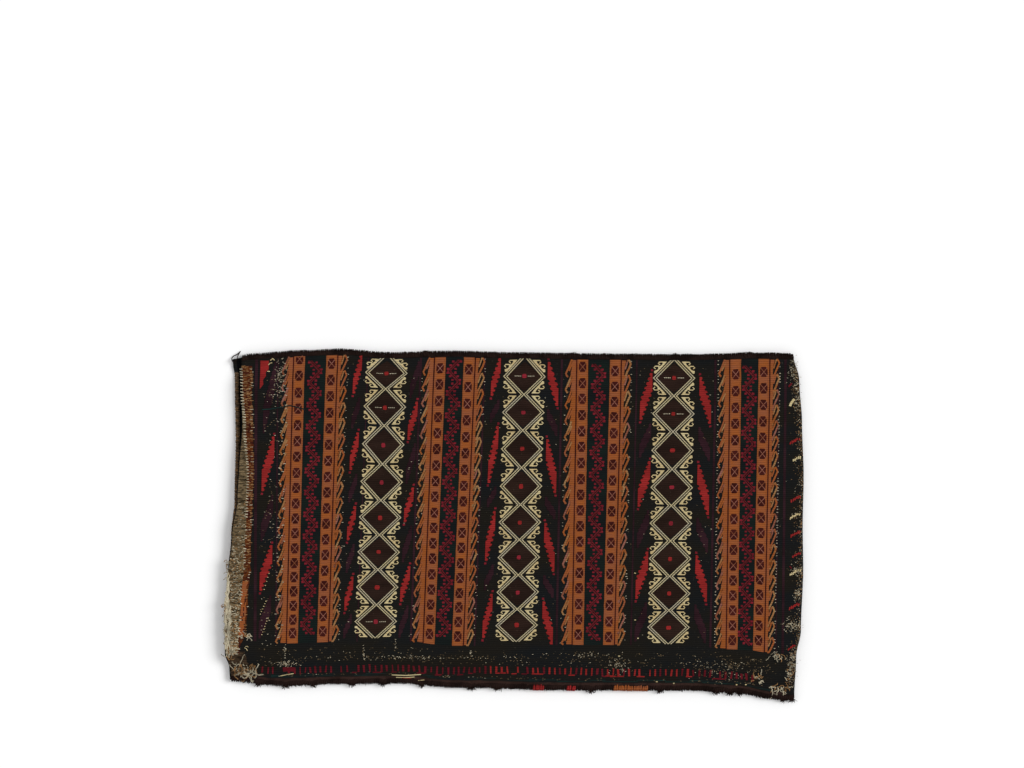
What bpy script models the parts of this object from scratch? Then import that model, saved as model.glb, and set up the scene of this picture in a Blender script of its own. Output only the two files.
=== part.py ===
"""A flat-woven wool bag, lying flat with its mouth at -X.

One long woven strip is folded across its length at +X. Its two long sides are closed by a lacing of
goat-hair yarn. The pattern yarns stand a little proud of the front panel. Metres, +Z up, origin under
the middle of the bag on the surface that it lies on.
"""
import math

import bmesh
import bpy
from mathutils import Vector
from mathutils.geometry import delaunay_2d_cdt

# Overall size
BAG_LENGTH = 0.927
BAG_WIDTH = 0.5617

# Cloth
CLOTH_THICKNESS = 0.0035
YARN_RELIEF = 0.0008
HEM_WIDTH = 0.010
HEM_HEIGHT = 0.0065

# Space between the two panels
BODY_GAP = 0.0105
FOLD_GAP = 0.0080
SIDE_GAP = 0.0006
WAVE_HEIGHT = 0.0007
FOLD_RUN = 0.070
PINCH_RUN = 0.040
LIFT_RUN = 0.020

# Side lacing
LACE_WALL = 0.0018
LACE_REACH = 0.0065
LACE_ROUND = 0.0022
LACED_BAND = 0.010
CLEARANCE = 0.0003

# Outline, as (share of the line, distance inside the overall box)
HEM_INSET = (
    (0.0, 0.0115), (0.07, 0.0155), (0.25, 0.0169), (0.44, 0.0150), (0.55, 0.0096),
    (0.68, 0.0045), (0.80, 0.0003), (0.92, 0.0), (0.96, 0.0065), (1.0, 0.0075),
)
MOUTH_SETBACK = (
    (0.0, 0.0144), (0.20, 0.0114), (0.35, 0.0070), (0.44, 0.0053), (0.55, 0.0022), (0.68, 0.0012), (1.0, 0.0012),
)
NOSE_INSET = (
    (0.0, 0.0165), (0.07, 0.0070), (0.20, 0.0025), (0.35, 0.0), (0.50, 0.0015),
    (0.62, 0.0007), (0.80, 0.0043), (0.88, 0.0120), (1.0, 0.0150),
)
UPPER_INSET = (
    (0.0, 0.0142), (0.06, 0.0067), (0.13, 0.0022), (0.20, 0.0), (0.28, 0.0054), (0.40, 0.0032),
    (0.50, 0.0057), (0.65, 0.0077), (0.80, 0.0087), (0.92, 0.0062), (1.0, 0.0072),
)
LOWER_INSET = (
    (0.0, 0.0310), (0.10, 0.0230), (0.20, 0.0260), (0.30, 0.0270), (0.40, 0.0200),
    (0.60, 0.0160), (0.80, 0.0155), (0.88, 0.0120), (0.95, 0.0015), (1.0, 0.0),
)

# Pattern field, from the upper side to the plain lower border
FIELD_MARGIN = 0.0100
LOWER_BORDER = 0.070
BORDER_STRIPE_FROM = 0.0195
BORDER_STRIPE_WIDTH = 0.0100
BORDER_STRIPE_ENDS = (0.065, 0.925)

# Columns, as shares of the length at the field's top and bottom
BOX_BANDS = (
    (0.1289, 0.1168, -1), (0.1845, 0.1686, 1), (0.3723, 0.3528, -1), (0.4222, 0.4013, 1),
    (0.6200, 0.6117, -1), (0.6738, 0.6614, 1), (0.8823, 0.8754, -1), (0.9310, 0.9206, 1),
)
DIAMOND_COLUMNS = ((0.2800, 0.2592), (0.5181, 0.5026), (0.7762, 0.7650))
DIAMOND_ROWS = (0.0, 0.130, 0.256, 0.388, 0.516, 0.638, 0.760, 0.880, 1.0)

# Leaf columns: place at the top and bottom, way the leaves lean, leaf length, rows where they start
LEAF_COLUMNS = (
    (0.0760, 0.0600, -1, 0.070, (0.005, 0.270, 0.650)),
    (0.2285, 0.2140, -1, 0.060, (0.005, 0.269, 0.528, 0.773)),
    (0.3200, 0.3060, -1, 0.058, (0.157, 0.458, 0.734)),
    (0.4680, 0.4510, -1, 0.076, (0.005, 0.237, 0.533, 0.822)),
    (0.5690, 0.5600, 1, 0.076, (0.010, 0.282, 0.575, 0.825)),
    (0.7280, 0.7200, -1, 0.076, (0.045, 0.358, 0.677)),
    (0.8290, 0.8210, 1, 0.076, (0.059, 0.372, 0.694)),
)

# Pattern yarn sizes
BAND_WIDTH = 0.0180
BOX_WIDTH = 0.0120
BOX_HEIGHT = 0.0150
BOX_PITCH = 0.0256
GUARD_GAP = 0.0021
GUARD_WIDTH = 0.0056
DIAMOND_HALF_WIDTH = 0.0344
LATTICE_WIDTH = 0.0080
CENTRE_SQUARE = 0.0075
ZIGZAG_PERIOD = 0.0363
ZIGZAG_SWING = 0.0072
ZIGZAG_WIDTH = 0.0070
LEAF_WIDTH = 0.0095
LEAF_LEAN = 0.0150

# Hooked triangle beside each crossing, as shares of the diamond's half width and half height
HOOK_SHAPE = ((0.307, 0.085), (0.753, 0.085), (0.674, 0.303), (0.958, 0.360), (0.977, 0.740))
# Leaf outline, as (share of the width from its axis, share of the length from its top)
LEAF_SHAPE = (
    (-0.10, 0.0), (0.25, 0.0), (0.50, 0.45), (0.20, 0.62), (0.10, 1.0), (-0.25, 1.0), (-0.50, 0.55), (-0.20, 0.38),
)

# Facets
LENGTH_STEPS = 20
MIDDLE_STEPS = 4
PINCH_STEPS = (0.3, 0.65, 1.0)
FOLD_STEPS = 6
WELD = 0.0004

# Fields of colour on the cloth, in the order of its material slots
GROUND, ORANGE, CREAM, RED, CRIMSON, MAROON = range(6)
FINISHES = {
    "ground_wool": ((0.030, 0.026, 0.028), 0.95),
    "orange_wool": ((0.50, 0.19, 0.06), 0.90),
    "cream_wool": ((0.66, 0.56, 0.36), 0.90),
    "red_wool": ((0.38, 0.030, 0.030), 0.90),
    "crimson_wool": ((0.24, 0.026, 0.060), 0.90),
    "maroon_wool": ((0.10, 0.018, 0.016), 0.92),
    "goat_hair": ((0.022, 0.014, 0.011), 0.85),
}


def clear_scene():
    """Remove whatever the opened file holds."""
    for thing in list(bpy.data.objects):
        bpy.data.objects.remove(thing, do_unlink=True)


def wool(name):
    """Make one yarn finish from its colour and roughness."""
    colour, roughness = FINISHES[name]
    material = bpy.data.materials.new(name)
    material.use_nodes = True
    shader = material.node_tree.nodes["Principled BSDF"]
    shader.inputs["Base Color"].default_value = (*colour, 1.0)
    shader.inputs["Roughness"].default_value = roughness
    shader.inputs["Metallic"].default_value = 0.0
    return material


def ease(t):
    """Run smoothly from 0 to 1."""
    t = min(max(t, 0.0), 1.0)
    return t * t * (3.0 - 2.0 * t)


def mix(a, b, t):
    return a + (b - a) * t


def read_line(points, share):
    """Read an outline's inset at a share of its length, eased between its points."""
    for (start, first), (end, second) in zip(points, points[1:]):
        if share <= end:
            return mix(first, second, ease((share - start) / (end - start)))
    return points[-1][1]


def length_share(x):
    return x / BAG_LENGTH + 0.5


def hem_x(v):
    return -BAG_LENGTH / 2 + read_line(HEM_INSET, v)


def mouth_x(v):
    return hem_x(v) + read_line(MOUTH_SETBACK, v)


def upper_y(x):
    return BAG_WIDTH / 2 - read_line(UPPER_INSET, length_share(x))


def lower_y(x):
    return -BAG_WIDTH / 2 + read_line(LOWER_INSET, length_share(x))


def pinch(side):
    """Say how far the panels have opened at a distance from a laced side: 0 at the side, 1 inside."""
    return ease((side - LACED_BAND) / PINCH_RUN)


def lift(side):
    """Give the back panel's height, which the lacing under it raises along the sides."""
    return (LACE_WALL + CLEARANCE) * (1.0 - ease((side - LACED_BAND) / LIFT_RUN))


def side_distance(v):
    return min(v, 1.0 - v) * (BAG_WIDTH - 2 * (LACE_WALL + CLEARANCE))


def fold_radius(v):
    return mix(SIDE_GAP, FOLD_GAP, pinch(side_distance(v))) / 2


def fold_axis_x(v):
    return BAG_LENGTH / 2 - read_line(NOSE_INSET, v) - fold_radius(v) - CLOTH_THICKNESS


def panel_gap(u, v):
    """Give the space between the panels at a place on the front panel."""
    middle = mix(FOLD_GAP, BODY_GAP, ease(BAG_LENGTH * (1.0 - u) / FOLD_RUN))
    wave = math.sin(math.tau * (1.6 * u + 0.35 * v)) * math.sin(math.pi * u)
    return mix(SIDE_GAP, middle + WAVE_HEIGHT * wave, pinch(side_distance(v)))


def side_stations(v):
    """Give the places along a laced side, from the mouth to the fold, where its edge may turn."""
    return [mix(mouth_x(v), fold_axis_x(v), u) for u in length_stations()]


def cloth_edge_y(v, x):
    """Give the edge of the cloth inside a side's lacing: v is 0 on the upper side and 1 on the lower."""
    stations = side_stations(v)
    start = max((i for i, station in enumerate(stations[:-1]) if station <= x), default=0)
    ends = stations[start: start + 2]
    if v < 0.5:
        low, high = (upper_y(end) - LACE_WALL - CLEARANCE for end in ends)
    else:
        low, high = (lower_y(end) + LACE_WALL + CLEARANCE for end in ends)
    return mix(low, high, (x - ends[0]) / (ends[1] - ends[0]))


def across(x, v):
    return mix(cloth_edge_y(0.0, x), cloth_edge_y(1.0, x), v)


def front_plan(u, v):
    x = mix(mouth_x(v), fold_axis_x(v), u)
    return x, across(x, v)


def front_place(x, y):
    """Turn a plan position on the front panel into its shares along and across the panel."""
    upper = cloth_edge_y(0.0, x)
    v = (upper - y) / (upper - cloth_edge_y(1.0, x))
    start = mouth_x(v)
    return (x - start) / (fold_axis_x(v) - start), v


def front_inside_z(u, v):
    return lift(side_distance(v)) + CLOTH_THICKNESS + panel_gap(u, v)


def length_stations():
    return [step / LENGTH_STEPS for step in range(LENGTH_STEPS + 1)]


def width_stations():
    """Give the shares across the panel: close together where it rises from the laced sides."""
    edge = [0.0, LACED_BAND] + [LACED_BAND + PINCH_RUN * step for step in PINCH_STEPS]
    shares = [distance / BAG_WIDTH for distance in edge]
    middle = [mix(shares[-1], 1.0 - shares[-1], step / MIDDLE_STEPS) for step in range(1, MIDDLE_STEPS)]
    return shares + middle + [1.0 - share for share in reversed(shares)]


def field_top(x):
    return upper_y(x) - FIELD_MARGIN


def field_bottom(x):
    return lower_y(x) + LOWER_BORDER


def field_point(top_share, bottom_share, row, shift=0.0, drop=0.0):
    """Give a point beside a leaning column, at a row's share of the field's height."""
    x = (mix(top_share, bottom_share, row) - 0.5) * BAG_LENGTH + shift
    return x, mix(field_top(x), field_bottom(x), row) - drop


def field_height(top_share, bottom_share):
    x = (mix(top_share, bottom_share, 0.5) - 0.5) * BAG_LENGTH
    return field_top(x) - field_bottom(x)


def ribbon(centres, width):
    """Outline a zigzag ribbon from the points of its middle line."""
    right = [(x + width / 2, y) for x, y in centres]
    left = [(x - width / 2, y) for x, y in reversed(centres)]
    return right + left


def upright(top_share, bottom_share, shift, width):
    """Outline a strip that runs the height of the field, with points where the panel rises."""
    height = field_height(top_share, bottom_share)
    edge = FIELD_MARGIN - LACE_WALL - CLEARANCE
    rows = [0.0] + [(LACED_BAND + PINCH_RUN * step - edge) / height for step in PINCH_STEPS] + [0.5, 1.0]
    centres = [field_point(top_share, bottom_share, row, shift) for row in rows]
    return ribbon(centres, width)


def band_motifs():
    """Outline the orange bands with their guard stripes, and the dark boxes sunk in them."""
    raised = []
    sunk = []
    for top, bottom, outward in BOX_BANDS:
        raised.append((ORANGE, upright(top, bottom, 0.0, BAND_WIDTH)))
        guard = outward * (BAND_WIDTH / 2 + GUARD_GAP + GUARD_WIDTH / 2)
        raised.append((ORANGE, upright(top, bottom, guard, GUARD_WIDTH)))
        height = field_height(top, bottom)
        count = max(1, round(height / BOX_PITCH))
        for box in range(count):
            row = (box + 0.5) / count
            corners = [
                field_point(top, bottom, row, across_box * BOX_WIDTH / 2, down * BOX_HEIGHT / 2)
                for across_box, down in ((-1, -1), (1, -1), (1, 1), (-1, 1))
            ]
            sunk.append((MAROON, corners))
    return raised, sunk


def zigzag_motifs():
    """Outline the crimson zigzag that runs between the two bands of each pair."""
    motifs = []
    for (top_a, bottom_a, _), (top_b, bottom_b, _) in zip(BOX_BANDS[::2], BOX_BANDS[1::2]):
        top = (top_a + top_b) / 2
        bottom = (bottom_a + bottom_b) / 2
        turns = max(2, round(2 * field_height(top, bottom) / ZIGZAG_PERIOD))
        centres = [
            field_point(top, bottom, turn / turns, ZIGZAG_SWING * (1 if turn % 2 else -1))
            for turn in range(turns + 1)
        ]
        motifs.append((CRIMSON, ribbon(centres, ZIGZAG_WIDTH)))
    return motifs


def lattice_motifs():
    """Outline the two crossing zigzags that make each column of diamonds, and the square in each."""
    motifs = []
    middles = [(a + b) / 2 for a, b in zip(DIAMOND_ROWS, DIAMOND_ROWS[1:])]
    for top, bottom in DIAMOND_COLUMNS:
        for start in (-1, 1):
            centres = [field_point(top, bottom, 0.0)]
            for number, row in enumerate(middles):
                swing = start * DIAMOND_HALF_WIDTH * (1 if number % 2 else -1)
                centres.append(field_point(top, bottom, row, swing))
            centres.append(field_point(top, bottom, 1.0))
            motifs.append((CREAM, ribbon(centres, LATTICE_WIDTH)))
        for row in middles:
            corners = [
                field_point(top, bottom, row, side * CENTRE_SQUARE / 2, down * CENTRE_SQUARE / 2)
                for side, down in ((-1, -1), (1, -1), (1, 1), (-1, 1))
            ]
            motifs.append((RED, corners))
    return motifs


def hook_motifs():
    """Outline the cream hooked triangles, above and below each crossing on both sides."""
    motifs = []
    last = len(DIAMOND_ROWS) - 1
    for top, bottom in DIAMOND_COLUMNS:
        height = field_height(top, bottom)
        for number, row in enumerate(DIAMOND_ROWS):
            for way in (-1, 1):
                if not 0 <= number + way <= last:
                    continue
                half_height = abs(DIAMOND_ROWS[number + way] - row) * height / 2
                for side in (-1, 1):
                    outline = [
                        field_point(top, bottom, row, side * a * DIAMOND_HALF_WIDTH, way * b * half_height)
                        for a, b in HOOK_SHAPE
                    ]
                    motifs.append((CREAM, outline))
    return motifs


def leaf_motifs():
    """Outline the red leaves, which lean beside the diamonds."""
    motifs = []
    for top, bottom, way, length, rows in LEAF_COLUMNS:
        for row in rows:
            outline = [
                field_point(top, bottom, row, way * (down - 0.5) * LEAF_LEAN - way * a * LEAF_WIDTH, down * length)
                for a, down in LEAF_SHAPE
            ]
            motifs.append((RED, outline))
    return motifs


def border_motif():
    """Outline the stripe of short red bars in the plain lower border."""
    start, end = BORDER_STRIPE_ENDS
    xs = [(mix(start, end, step / LENGTH_STEPS) - 0.5) * BAG_LENGTH for step in range(LENGTH_STEPS + 1)]
    low = [(x, lower_y(x) + BORDER_STRIPE_FROM) for x in xs]
    high = [(x, lower_y(x) + BORDER_STRIPE_FROM + BORDER_STRIPE_WIDTH) for x in reversed(xs)]
    return RED, low + high


def anticlockwise(outline):
    """Turn an outline so that it runs anticlockwise, seen from above."""
    area = sum(a[0] * b[1] - b[0] * a[1] for a, b in zip(outline, outline[1:] + outline[:1]))
    return outline if area > 0 else outline[::-1]


def join_corners(mesh, yarns):
    """Widen the yarns wherever two of them would touch at a single point."""
    raised = set(yarns)
    settled = False
    while not settled:
        settled = True
        for vert in mesh.verts:
            borders = [edge for edge in vert.link_edges if len({face in raised for face in edge.link_faces}) == 2]
            if len(borders) > 2:
                raised.update(vert.link_faces)
                settled = False
    return [face for face in mesh.faces if face in raised]


def front_skin(mesh):
    """Lay the front panel's outer skin in bmesh, raise the pattern yarns, and return its edge vertices.

    The four returned rows run along the upper side, along the lower side, along the mouth and along
    the start of the fold.
    """
    us = length_stations()
    vs = width_stations()
    last_u = len(us) - 1
    last_v = len(vs) - 1
    points = [front_plan(u, v) for u in us for v in vs]

    def number(i, k):
        return i * len(vs) + k

    loop = [number(0, k) for k in range(last_v)]
    loop += [number(i, last_v) for i in range(last_u)]
    loop += [number(last_u, k) for k in range(last_v, 0, -1)]
    loop += [number(i, 0) for i in range(last_u, 0, -1)]
    outlines = [loop]

    bands, boxes = band_motifs()
    raised = bands + zigzag_motifs() + lattice_motifs() + hook_motifs() + leaf_motifs() + [border_motif()]
    motifs = raised + boxes
    for _, outline in motifs:
        outlines.append(list(range(len(points), len(points) + len(outline))))
        points.extend(anticlockwise(outline))

    rises = [k for k in range(1, last_v) if vs[k] > 0.5]
    ridges = [(number(i, k), number(i + 1, k)) for i in range(last_u) for k in rises]
    flat, _, faces, origins, _, inside = delaunay_2d_cdt([Vector(p) for p in points], ridges, outlines, 0, WELD)
    verts = [mesh.verts.new((p.x, p.y, 0.0)) for p in flat]
    place_of = {}
    for place, sources in enumerate(origins):
        for source in sources:
            place_of[source] = verts[place]

    yarns = []
    for corners, owners in zip(faces, inside):
        if 0 not in owners:
            continue
        face = mesh.faces.new([verts[c] for c in corners])
        top_owner = max(owners)
        if top_owner > 0:
            face.material_index = motifs[top_owner - 1][0]
            if top_owner <= len(raised):
                yarns.append(face)
    loose = [v for v in verts if not v.link_faces]
    bmesh.ops.delete(mesh, geom=loose, context="VERTS")

    yarns = join_corners(mesh, yarns)
    grown = bmesh.ops.extrude_face_region(mesh, geom=yarns)
    for item in grown["geom"]:
        if isinstance(item, bmesh.types.BMVert):
            item.co.z = YARN_RELIEF
    bmesh.ops.delete(mesh, geom=[face for face in yarns if face.is_valid], context="FACES")
    for vert in mesh.verts:
        u, v = front_place(vert.co.x, vert.co.y)
        vert.co.z += front_inside_z(u, v) + CLOTH_THICKNESS

    upper = [place_of[number(i, 0)] for i in range(last_u + 1)]
    lower = [place_of[number(i, last_v)] for i in range(last_u + 1)]
    mouth = [place_of[number(0, k)] for k in range(last_v + 1)]
    fold = [place_of[number(last_u, k)] for k in range(last_v + 1)]
    return upper, lower, mouth, fold


def section(v):
    """Follow the strip's section from the fold's outside round to the front panel's inner mouth edge.

    Returns the outer stretch, the turned hem and the inner stretch as lists of positions.
    """
    us = length_stations()
    radius = fold_radius(v)
    axis = fold_axis_x(v)
    height = lift(side_distance(v))
    axis_z = height + CLOTH_THICKNESS + radius
    end = hem_x(v)
    hem_height = mix(CLOTH_THICKNESS, HEM_HEIGHT, pinch(side_distance(v)))

    def fold_point(step, distance):
        angle = math.pi * (0.5 - step / FOLD_STEPS)
        return Vector((axis + distance * math.cos(angle), across(axis, v), axis_z + distance * math.sin(angle)))

    def back_point(u, start, z):
        x = front_plan(u, v)[0] if u > 0 else start
        return Vector((x, across(x, v), z))

    outer = [fold_point(step, radius + CLOTH_THICKNESS) for step in range(1, FOLD_STEPS + 1)]
    outer += [back_point(u, end + HEM_WIDTH / 2, height) for u in reversed(us[:-1])]

    hem = []
    for degrees in (-45, -15, 15, 45, 80, 125):
        angle = math.radians(degrees)
        x = end + HEM_WIDTH / 2 * (1.0 - math.cos(angle))
        hem.append(Vector((x, across(x, v), height + hem_height / 2 * (1.0 + math.sin(angle)))))

    inner = [back_point(u, end + HEM_WIDTH, height + CLOTH_THICKNESS) for u in us]
    inner += [fold_point(step, radius) for step in range(FOLD_STEPS - 1, -1, -1)]
    for u in reversed(us[:-1]):
        x, y = front_plan(u, v)
        inner.append(Vector((x, y, front_inside_z(u, v))))
    return outer, hem, inner


def bag_cloth():
    """Weave, pattern and fold the strip."""
    mesh = bmesh.new()
    upper, lower, mouth, fold = front_skin(mesh)
    rings = []
    for v in width_stations():
        outer, hem, inner = section(v)
        made = [[mesh.verts.new(p) for p in part] for part in (outer, hem, inner)]
        rings.append(made)
    for k in range(len(rings) - 1):
        here = [fold[k]] + sum(rings[k], []) + [mouth[k]]
        there = [fold[k + 1]] + sum(rings[k + 1], []) + [mouth[k + 1]]
        for i in range(len(here) - 1):
            mesh.faces.new((here[i], here[i + 1], there[i + 1], there[i]))

    for (outer, hem, inner), front, first in ((rings[0], upper, fold[0]), (rings[-1], lower, fold[-1])):
        outside = [first] + outer
        steps = len(outer)
        back_inside = list(reversed(inner[: steps + 1]))
        for i in range(steps):
            mesh.faces.new((outside[i], outside[i + 1], back_inside[i + 1], back_inside[i]))
        mesh.faces.new([outside[-1]] + hem + [inner[0]])
        front_inside = list(reversed(inner[steps:]))
        for i in range(len(front) - 1):
            mesh.faces.new((front[i], front[i + 1], front_inside[i + 1], front_inside[i]))

    bmesh.ops.recalc_face_normals(mesh, faces=mesh.faces)
    bmesh.ops.triangulate(mesh, faces=[f for f in mesh.faces if len(f.verts) > 3])
    return finish("bag_cloth", mesh, [name for name in FINISHES if name != "goat_hair"])


def lace_section():
    """Give the lacing's section, as (outward from the cloth's edge, height)."""
    low = LACE_WALL
    cloth_top = LACE_WALL + 2 * CLEARANCE + 2 * CLOTH_THICKNESS + SIDE_GAP
    top = cloth_top + LACE_WALL
    out = CLEARANCE + LACE_WALL
    return (
        (-LACE_REACH, cloth_top), (CLEARANCE, cloth_top), (CLEARANCE, low), (-LACE_REACH, low),
        (-LACE_REACH, LACE_WALL / 4), (-LACE_REACH + LACE_WALL / 2, 0.0), (out - LACE_ROUND, 0.0),
        (out, LACE_ROUND), (out, top - LACE_ROUND), (out - LACE_ROUND, top),
        (-LACE_REACH + LACE_WALL / 2, top), (-LACE_REACH, top - LACE_WALL / 4),
    )


def side_lacing(name, v, way):
    """Wrap one long side in its lacing, from the mouth to the nose of the fold."""
    mesh = bmesh.new()
    nose = fold_axis_x(v) + fold_radius(v) + CLOTH_THICKNESS
    rings = []
    for x in side_stations(v) + [nose]:
        edge = cloth_edge_y(v, x)
        rings.append([mesh.verts.new((x, edge + way * out, z)) for out, z in lace_section()])
    count = len(rings[0])
    for here, there in zip(rings, rings[1:]):
        for i in range(count):
            j = (i + 1) % count
            mesh.faces.new((here[i], here[j], there[j], there[i]))
    mesh.faces.new(rings[0])
    mesh.faces.new(rings[-1])
    bmesh.ops.recalc_face_normals(mesh, faces=mesh.faces)
    return finish(name, mesh, ["goat_hair"])


def finish(name, mesh, finishes):
    """Turn a bmesh into a named object with its materials."""
    data = bpy.data.meshes.new(name)
    mesh.to_mesh(data)
    mesh.free()
    for each in finishes:
        data.materials.append(bpy.data.materials.get(each) or wool(each))
    thing = bpy.data.objects.new(name, data)
    bpy.context.scene.collection.objects.link(thing)
    return thing


def main():
    clear_scene()
    bag_cloth()
    side_lacing("upper_side_lacing", 0.0, 1)
    side_lacing("lower_side_lacing", 1.0, -1)


main()
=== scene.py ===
"""The looks of a flat-woven wool bag that lies flat with its mouth at -X.

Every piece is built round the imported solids: the folded cloth, the pattern yarns on its front panel, the
overcast side lacing, the worn mouth and the frayed edges. Metres, +Z up, the same frame as the solids.
"""
import math
import random
from functools import partial

import bmesh
import bpy
from bpy.props import FloatProperty, FloatVectorProperty, IntProperty, PointerProperty
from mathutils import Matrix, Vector, noise


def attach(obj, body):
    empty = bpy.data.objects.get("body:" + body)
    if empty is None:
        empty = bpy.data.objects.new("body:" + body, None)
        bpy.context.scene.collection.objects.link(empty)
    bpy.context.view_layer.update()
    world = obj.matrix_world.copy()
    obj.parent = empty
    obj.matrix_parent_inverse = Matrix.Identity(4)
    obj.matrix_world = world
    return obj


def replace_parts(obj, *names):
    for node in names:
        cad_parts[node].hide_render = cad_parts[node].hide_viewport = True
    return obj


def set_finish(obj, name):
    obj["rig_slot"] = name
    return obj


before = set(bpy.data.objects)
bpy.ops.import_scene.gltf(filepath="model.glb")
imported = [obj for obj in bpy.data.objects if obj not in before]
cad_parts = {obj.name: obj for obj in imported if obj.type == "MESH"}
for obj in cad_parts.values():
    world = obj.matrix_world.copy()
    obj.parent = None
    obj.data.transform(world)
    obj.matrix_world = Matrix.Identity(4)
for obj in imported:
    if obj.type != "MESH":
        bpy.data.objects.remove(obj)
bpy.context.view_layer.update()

bl_info = {
    "name": "Flatweave Bag",
    "version": (1, 0, 0),
    "blender": (4, 5, 0),
    "location": "3D View > Sidebar > Bag",
    "description": "Builds the cloth, pattern yarns, side lacing and frayed edges of a flat-woven wool bag",
    "category": "Object",
}

# Overall size: the solids' box, and the length and width that the outline is measured in
NOMINAL_LENGTH = 0.927
NOMINAL_WIDTH = 0.5617

# Space between the two panels and how they close towards the laced sides
BODY_GAP = 0.0105
FOLD_GAP = 0.0080
SIDE_GAP = 0.0006
FOLD_RUN = 0.070
PINCH_RUN = 0.040
LIFT_RUN = 0.020
LACED_BAND = 0.010
LACE_COVER = 0.0021
# Gathers beside the laced sides: how far they reach, and their pitch
GATHER_REACH = 0.035
GATHER_PITCH = 0.031

# Roll of the hem, and the share of the width at its upper end where it stays dark
HEM_WIDE = 0.0064
HEM_HIGH = 0.0065
DARK_HEM = 0.045

# Rounded edge of the front panel at the mouth, as (distance outwards, share of the thickness down)
MOUTH_EDGE = ((0.0009, 0.82), (0.0012, 0.5), (0.0009, 0.18))
# Where the inside starts to take a near-black finish, which is painted shade inside the open mouth, and the
# facets round the fold
SHADED_INSIDE_START = -0.40
FOLD_FACETS = 10

# Laid yarns: how far their walls go down into the cloth, and the strips that they are cut into
FOOT = 0.0006
STRIP = 0.0045
WIDE_STRIP = 0.0060
LADDER_STRIP = 0.0050
UPRIGHT_STEP = 0.0064
CREASE = math.radians(35)

# Outline, as (share of the line, distance inside the overall box)
HEM_INSET = (
    (0.0, 0.0115), (0.07, 0.0155), (0.25, 0.0169), (0.44, 0.0150), (0.55, 0.0096),
    (0.68, 0.0045), (0.80, 0.0003), (0.92, 0.0), (0.96, 0.0065), (1.0, 0.0075),
)
MOUTH_SETBACK = (
    (0.0, 0.0144), (0.20, 0.0114), (0.35, 0.0070), (0.44, 0.0053), (0.55, 0.0022), (0.68, 0.0012),
    (1.0, 0.0012),
)
NOSE_INSET = (
    (0.0, 0.0165), (0.07, 0.0070), (0.20, 0.0025), (0.35, 0.0), (0.50, 0.0015),
    (0.62, 0.0007), (0.80, 0.0043), (0.88, 0.0120), (1.0, 0.0150),
)
UPPER_INSET = (
    (0.0, 0.0142), (0.06, 0.0067), (0.13, 0.0022), (0.20, 0.0), (0.28, 0.0054), (0.40, 0.0032),
    (0.50, 0.0057), (0.65, 0.0077), (0.80, 0.0087), (0.92, 0.0062), (1.0, 0.0072),
)
LOWER_INSET = (
    (0.0, 0.0310), (0.10, 0.0230), (0.20, 0.0260), (0.30, 0.0270), (0.40, 0.0200),
    (0.60, 0.0160), (0.80, 0.0155), (0.88, 0.0120), (0.95, 0.0015), (1.0, 0.0),
)

# Pattern field, from the upper side to the plain lower border
FIELD_MARGIN = 0.0088
LOWER_BORDER = (
    (0.0, 0.0685), (0.43, 0.0680), (0.60, 0.0733), (0.78, 0.0733), (0.88, 0.0700), (0.93, 0.0740),
    (1.0, 0.0740),
)

# Columns: middle line at the field's top and bottom, and for the bands the side that their guard is on
BANDS = (
    (-0.3440, -0.3552, -1), (-0.2925, -0.3072, 1), (-0.1184, -0.1365, -1), (-0.0722, -0.0915, 1),
    (0.1094, 0.1017, -1), (0.1616, 0.1501, 1), (0.3544, 0.3480, -1), (0.3995, 0.3899, 1),
)
GUARD_WIDTHS = (0.0060, 0.0040)
# Boxes of each band: how many, the rows of the first and the last, and how far the middle ones sag
BOX_ROWS = (
    (19, 0.010, 0.964, 0.026), (18, 0.029, 0.962, 0.011), (18, 0.038, 0.967, 0.011),
    (18, 0.043, 0.967, 0.023), (18, 0.026, 0.964, 0.006), (18, 0.039, 0.973, -0.002),
    (18, 0.053, 0.968, 0.014), (18, 0.045, 0.962, 0.011),
)
# Zigzags: rows of the first and the last bend, and the side of the first
ZIGZAGS = ((0.016, 0.972, -1), (0.009, 0.974, 1), (0.015, 0.985, -1), (0.023, 0.984, -1))
HALF_TURNS = 25
# One step of a guard's outer edge, as (share of the pitch, steps out)
GUARD_SAW = ((0.04, 2.0), (0.14, 2.2), (0.34, 1.0), (0.62, 0.2), (0.96, -0.2))
VINE_PITCH = 0.0250
VINE_REACH = 0.0016
# One link of a vine, as (steps out from the guard, share of the pitch down)
LEFT_VINE = ((0.2, -0.60), (1.6, -0.30), (3.4, -0.02), (5.0, 0.22), (6.3, 0.40), (5.0, 0.56), (4.2, 0.62))
LEFT_BARB = ((-0.4, -0.30), (1.4, -0.02), (3.2, 0.24))
RIGHT_VINE = ((4.0, -0.54), (5.2, -0.40), (6.2, -0.24), (4.6, 0.02), (3.0, 0.26), (1.4, 0.52), (-0.2, 0.84))
RIGHT_BARB = ((3.4, -0.50), (2.2, -0.22), (0.6, 0.10))
DIAMOND_HALF = 0.0330
DIAMONDS = ((-0.2040, -0.2232), (0.0168, 0.0024), (0.2560, 0.2456))
DIAMOND_ROWS = (
    (0.0, 0.108, 0.238, 0.374, 0.502, 0.624, 0.747, 0.871, 0.988),
    (0.0, 0.125, 0.250, 0.380, 0.509, 0.631, 0.754, 0.873, 0.986),
    (0.0, 0.125, 0.2505, 0.382, 0.510, 0.634, 0.758, 0.878, 0.996),
)
# How far open each lattice already is at the field's top
LATTICE_START = (0.20, 0.10, 0.04)
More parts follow.
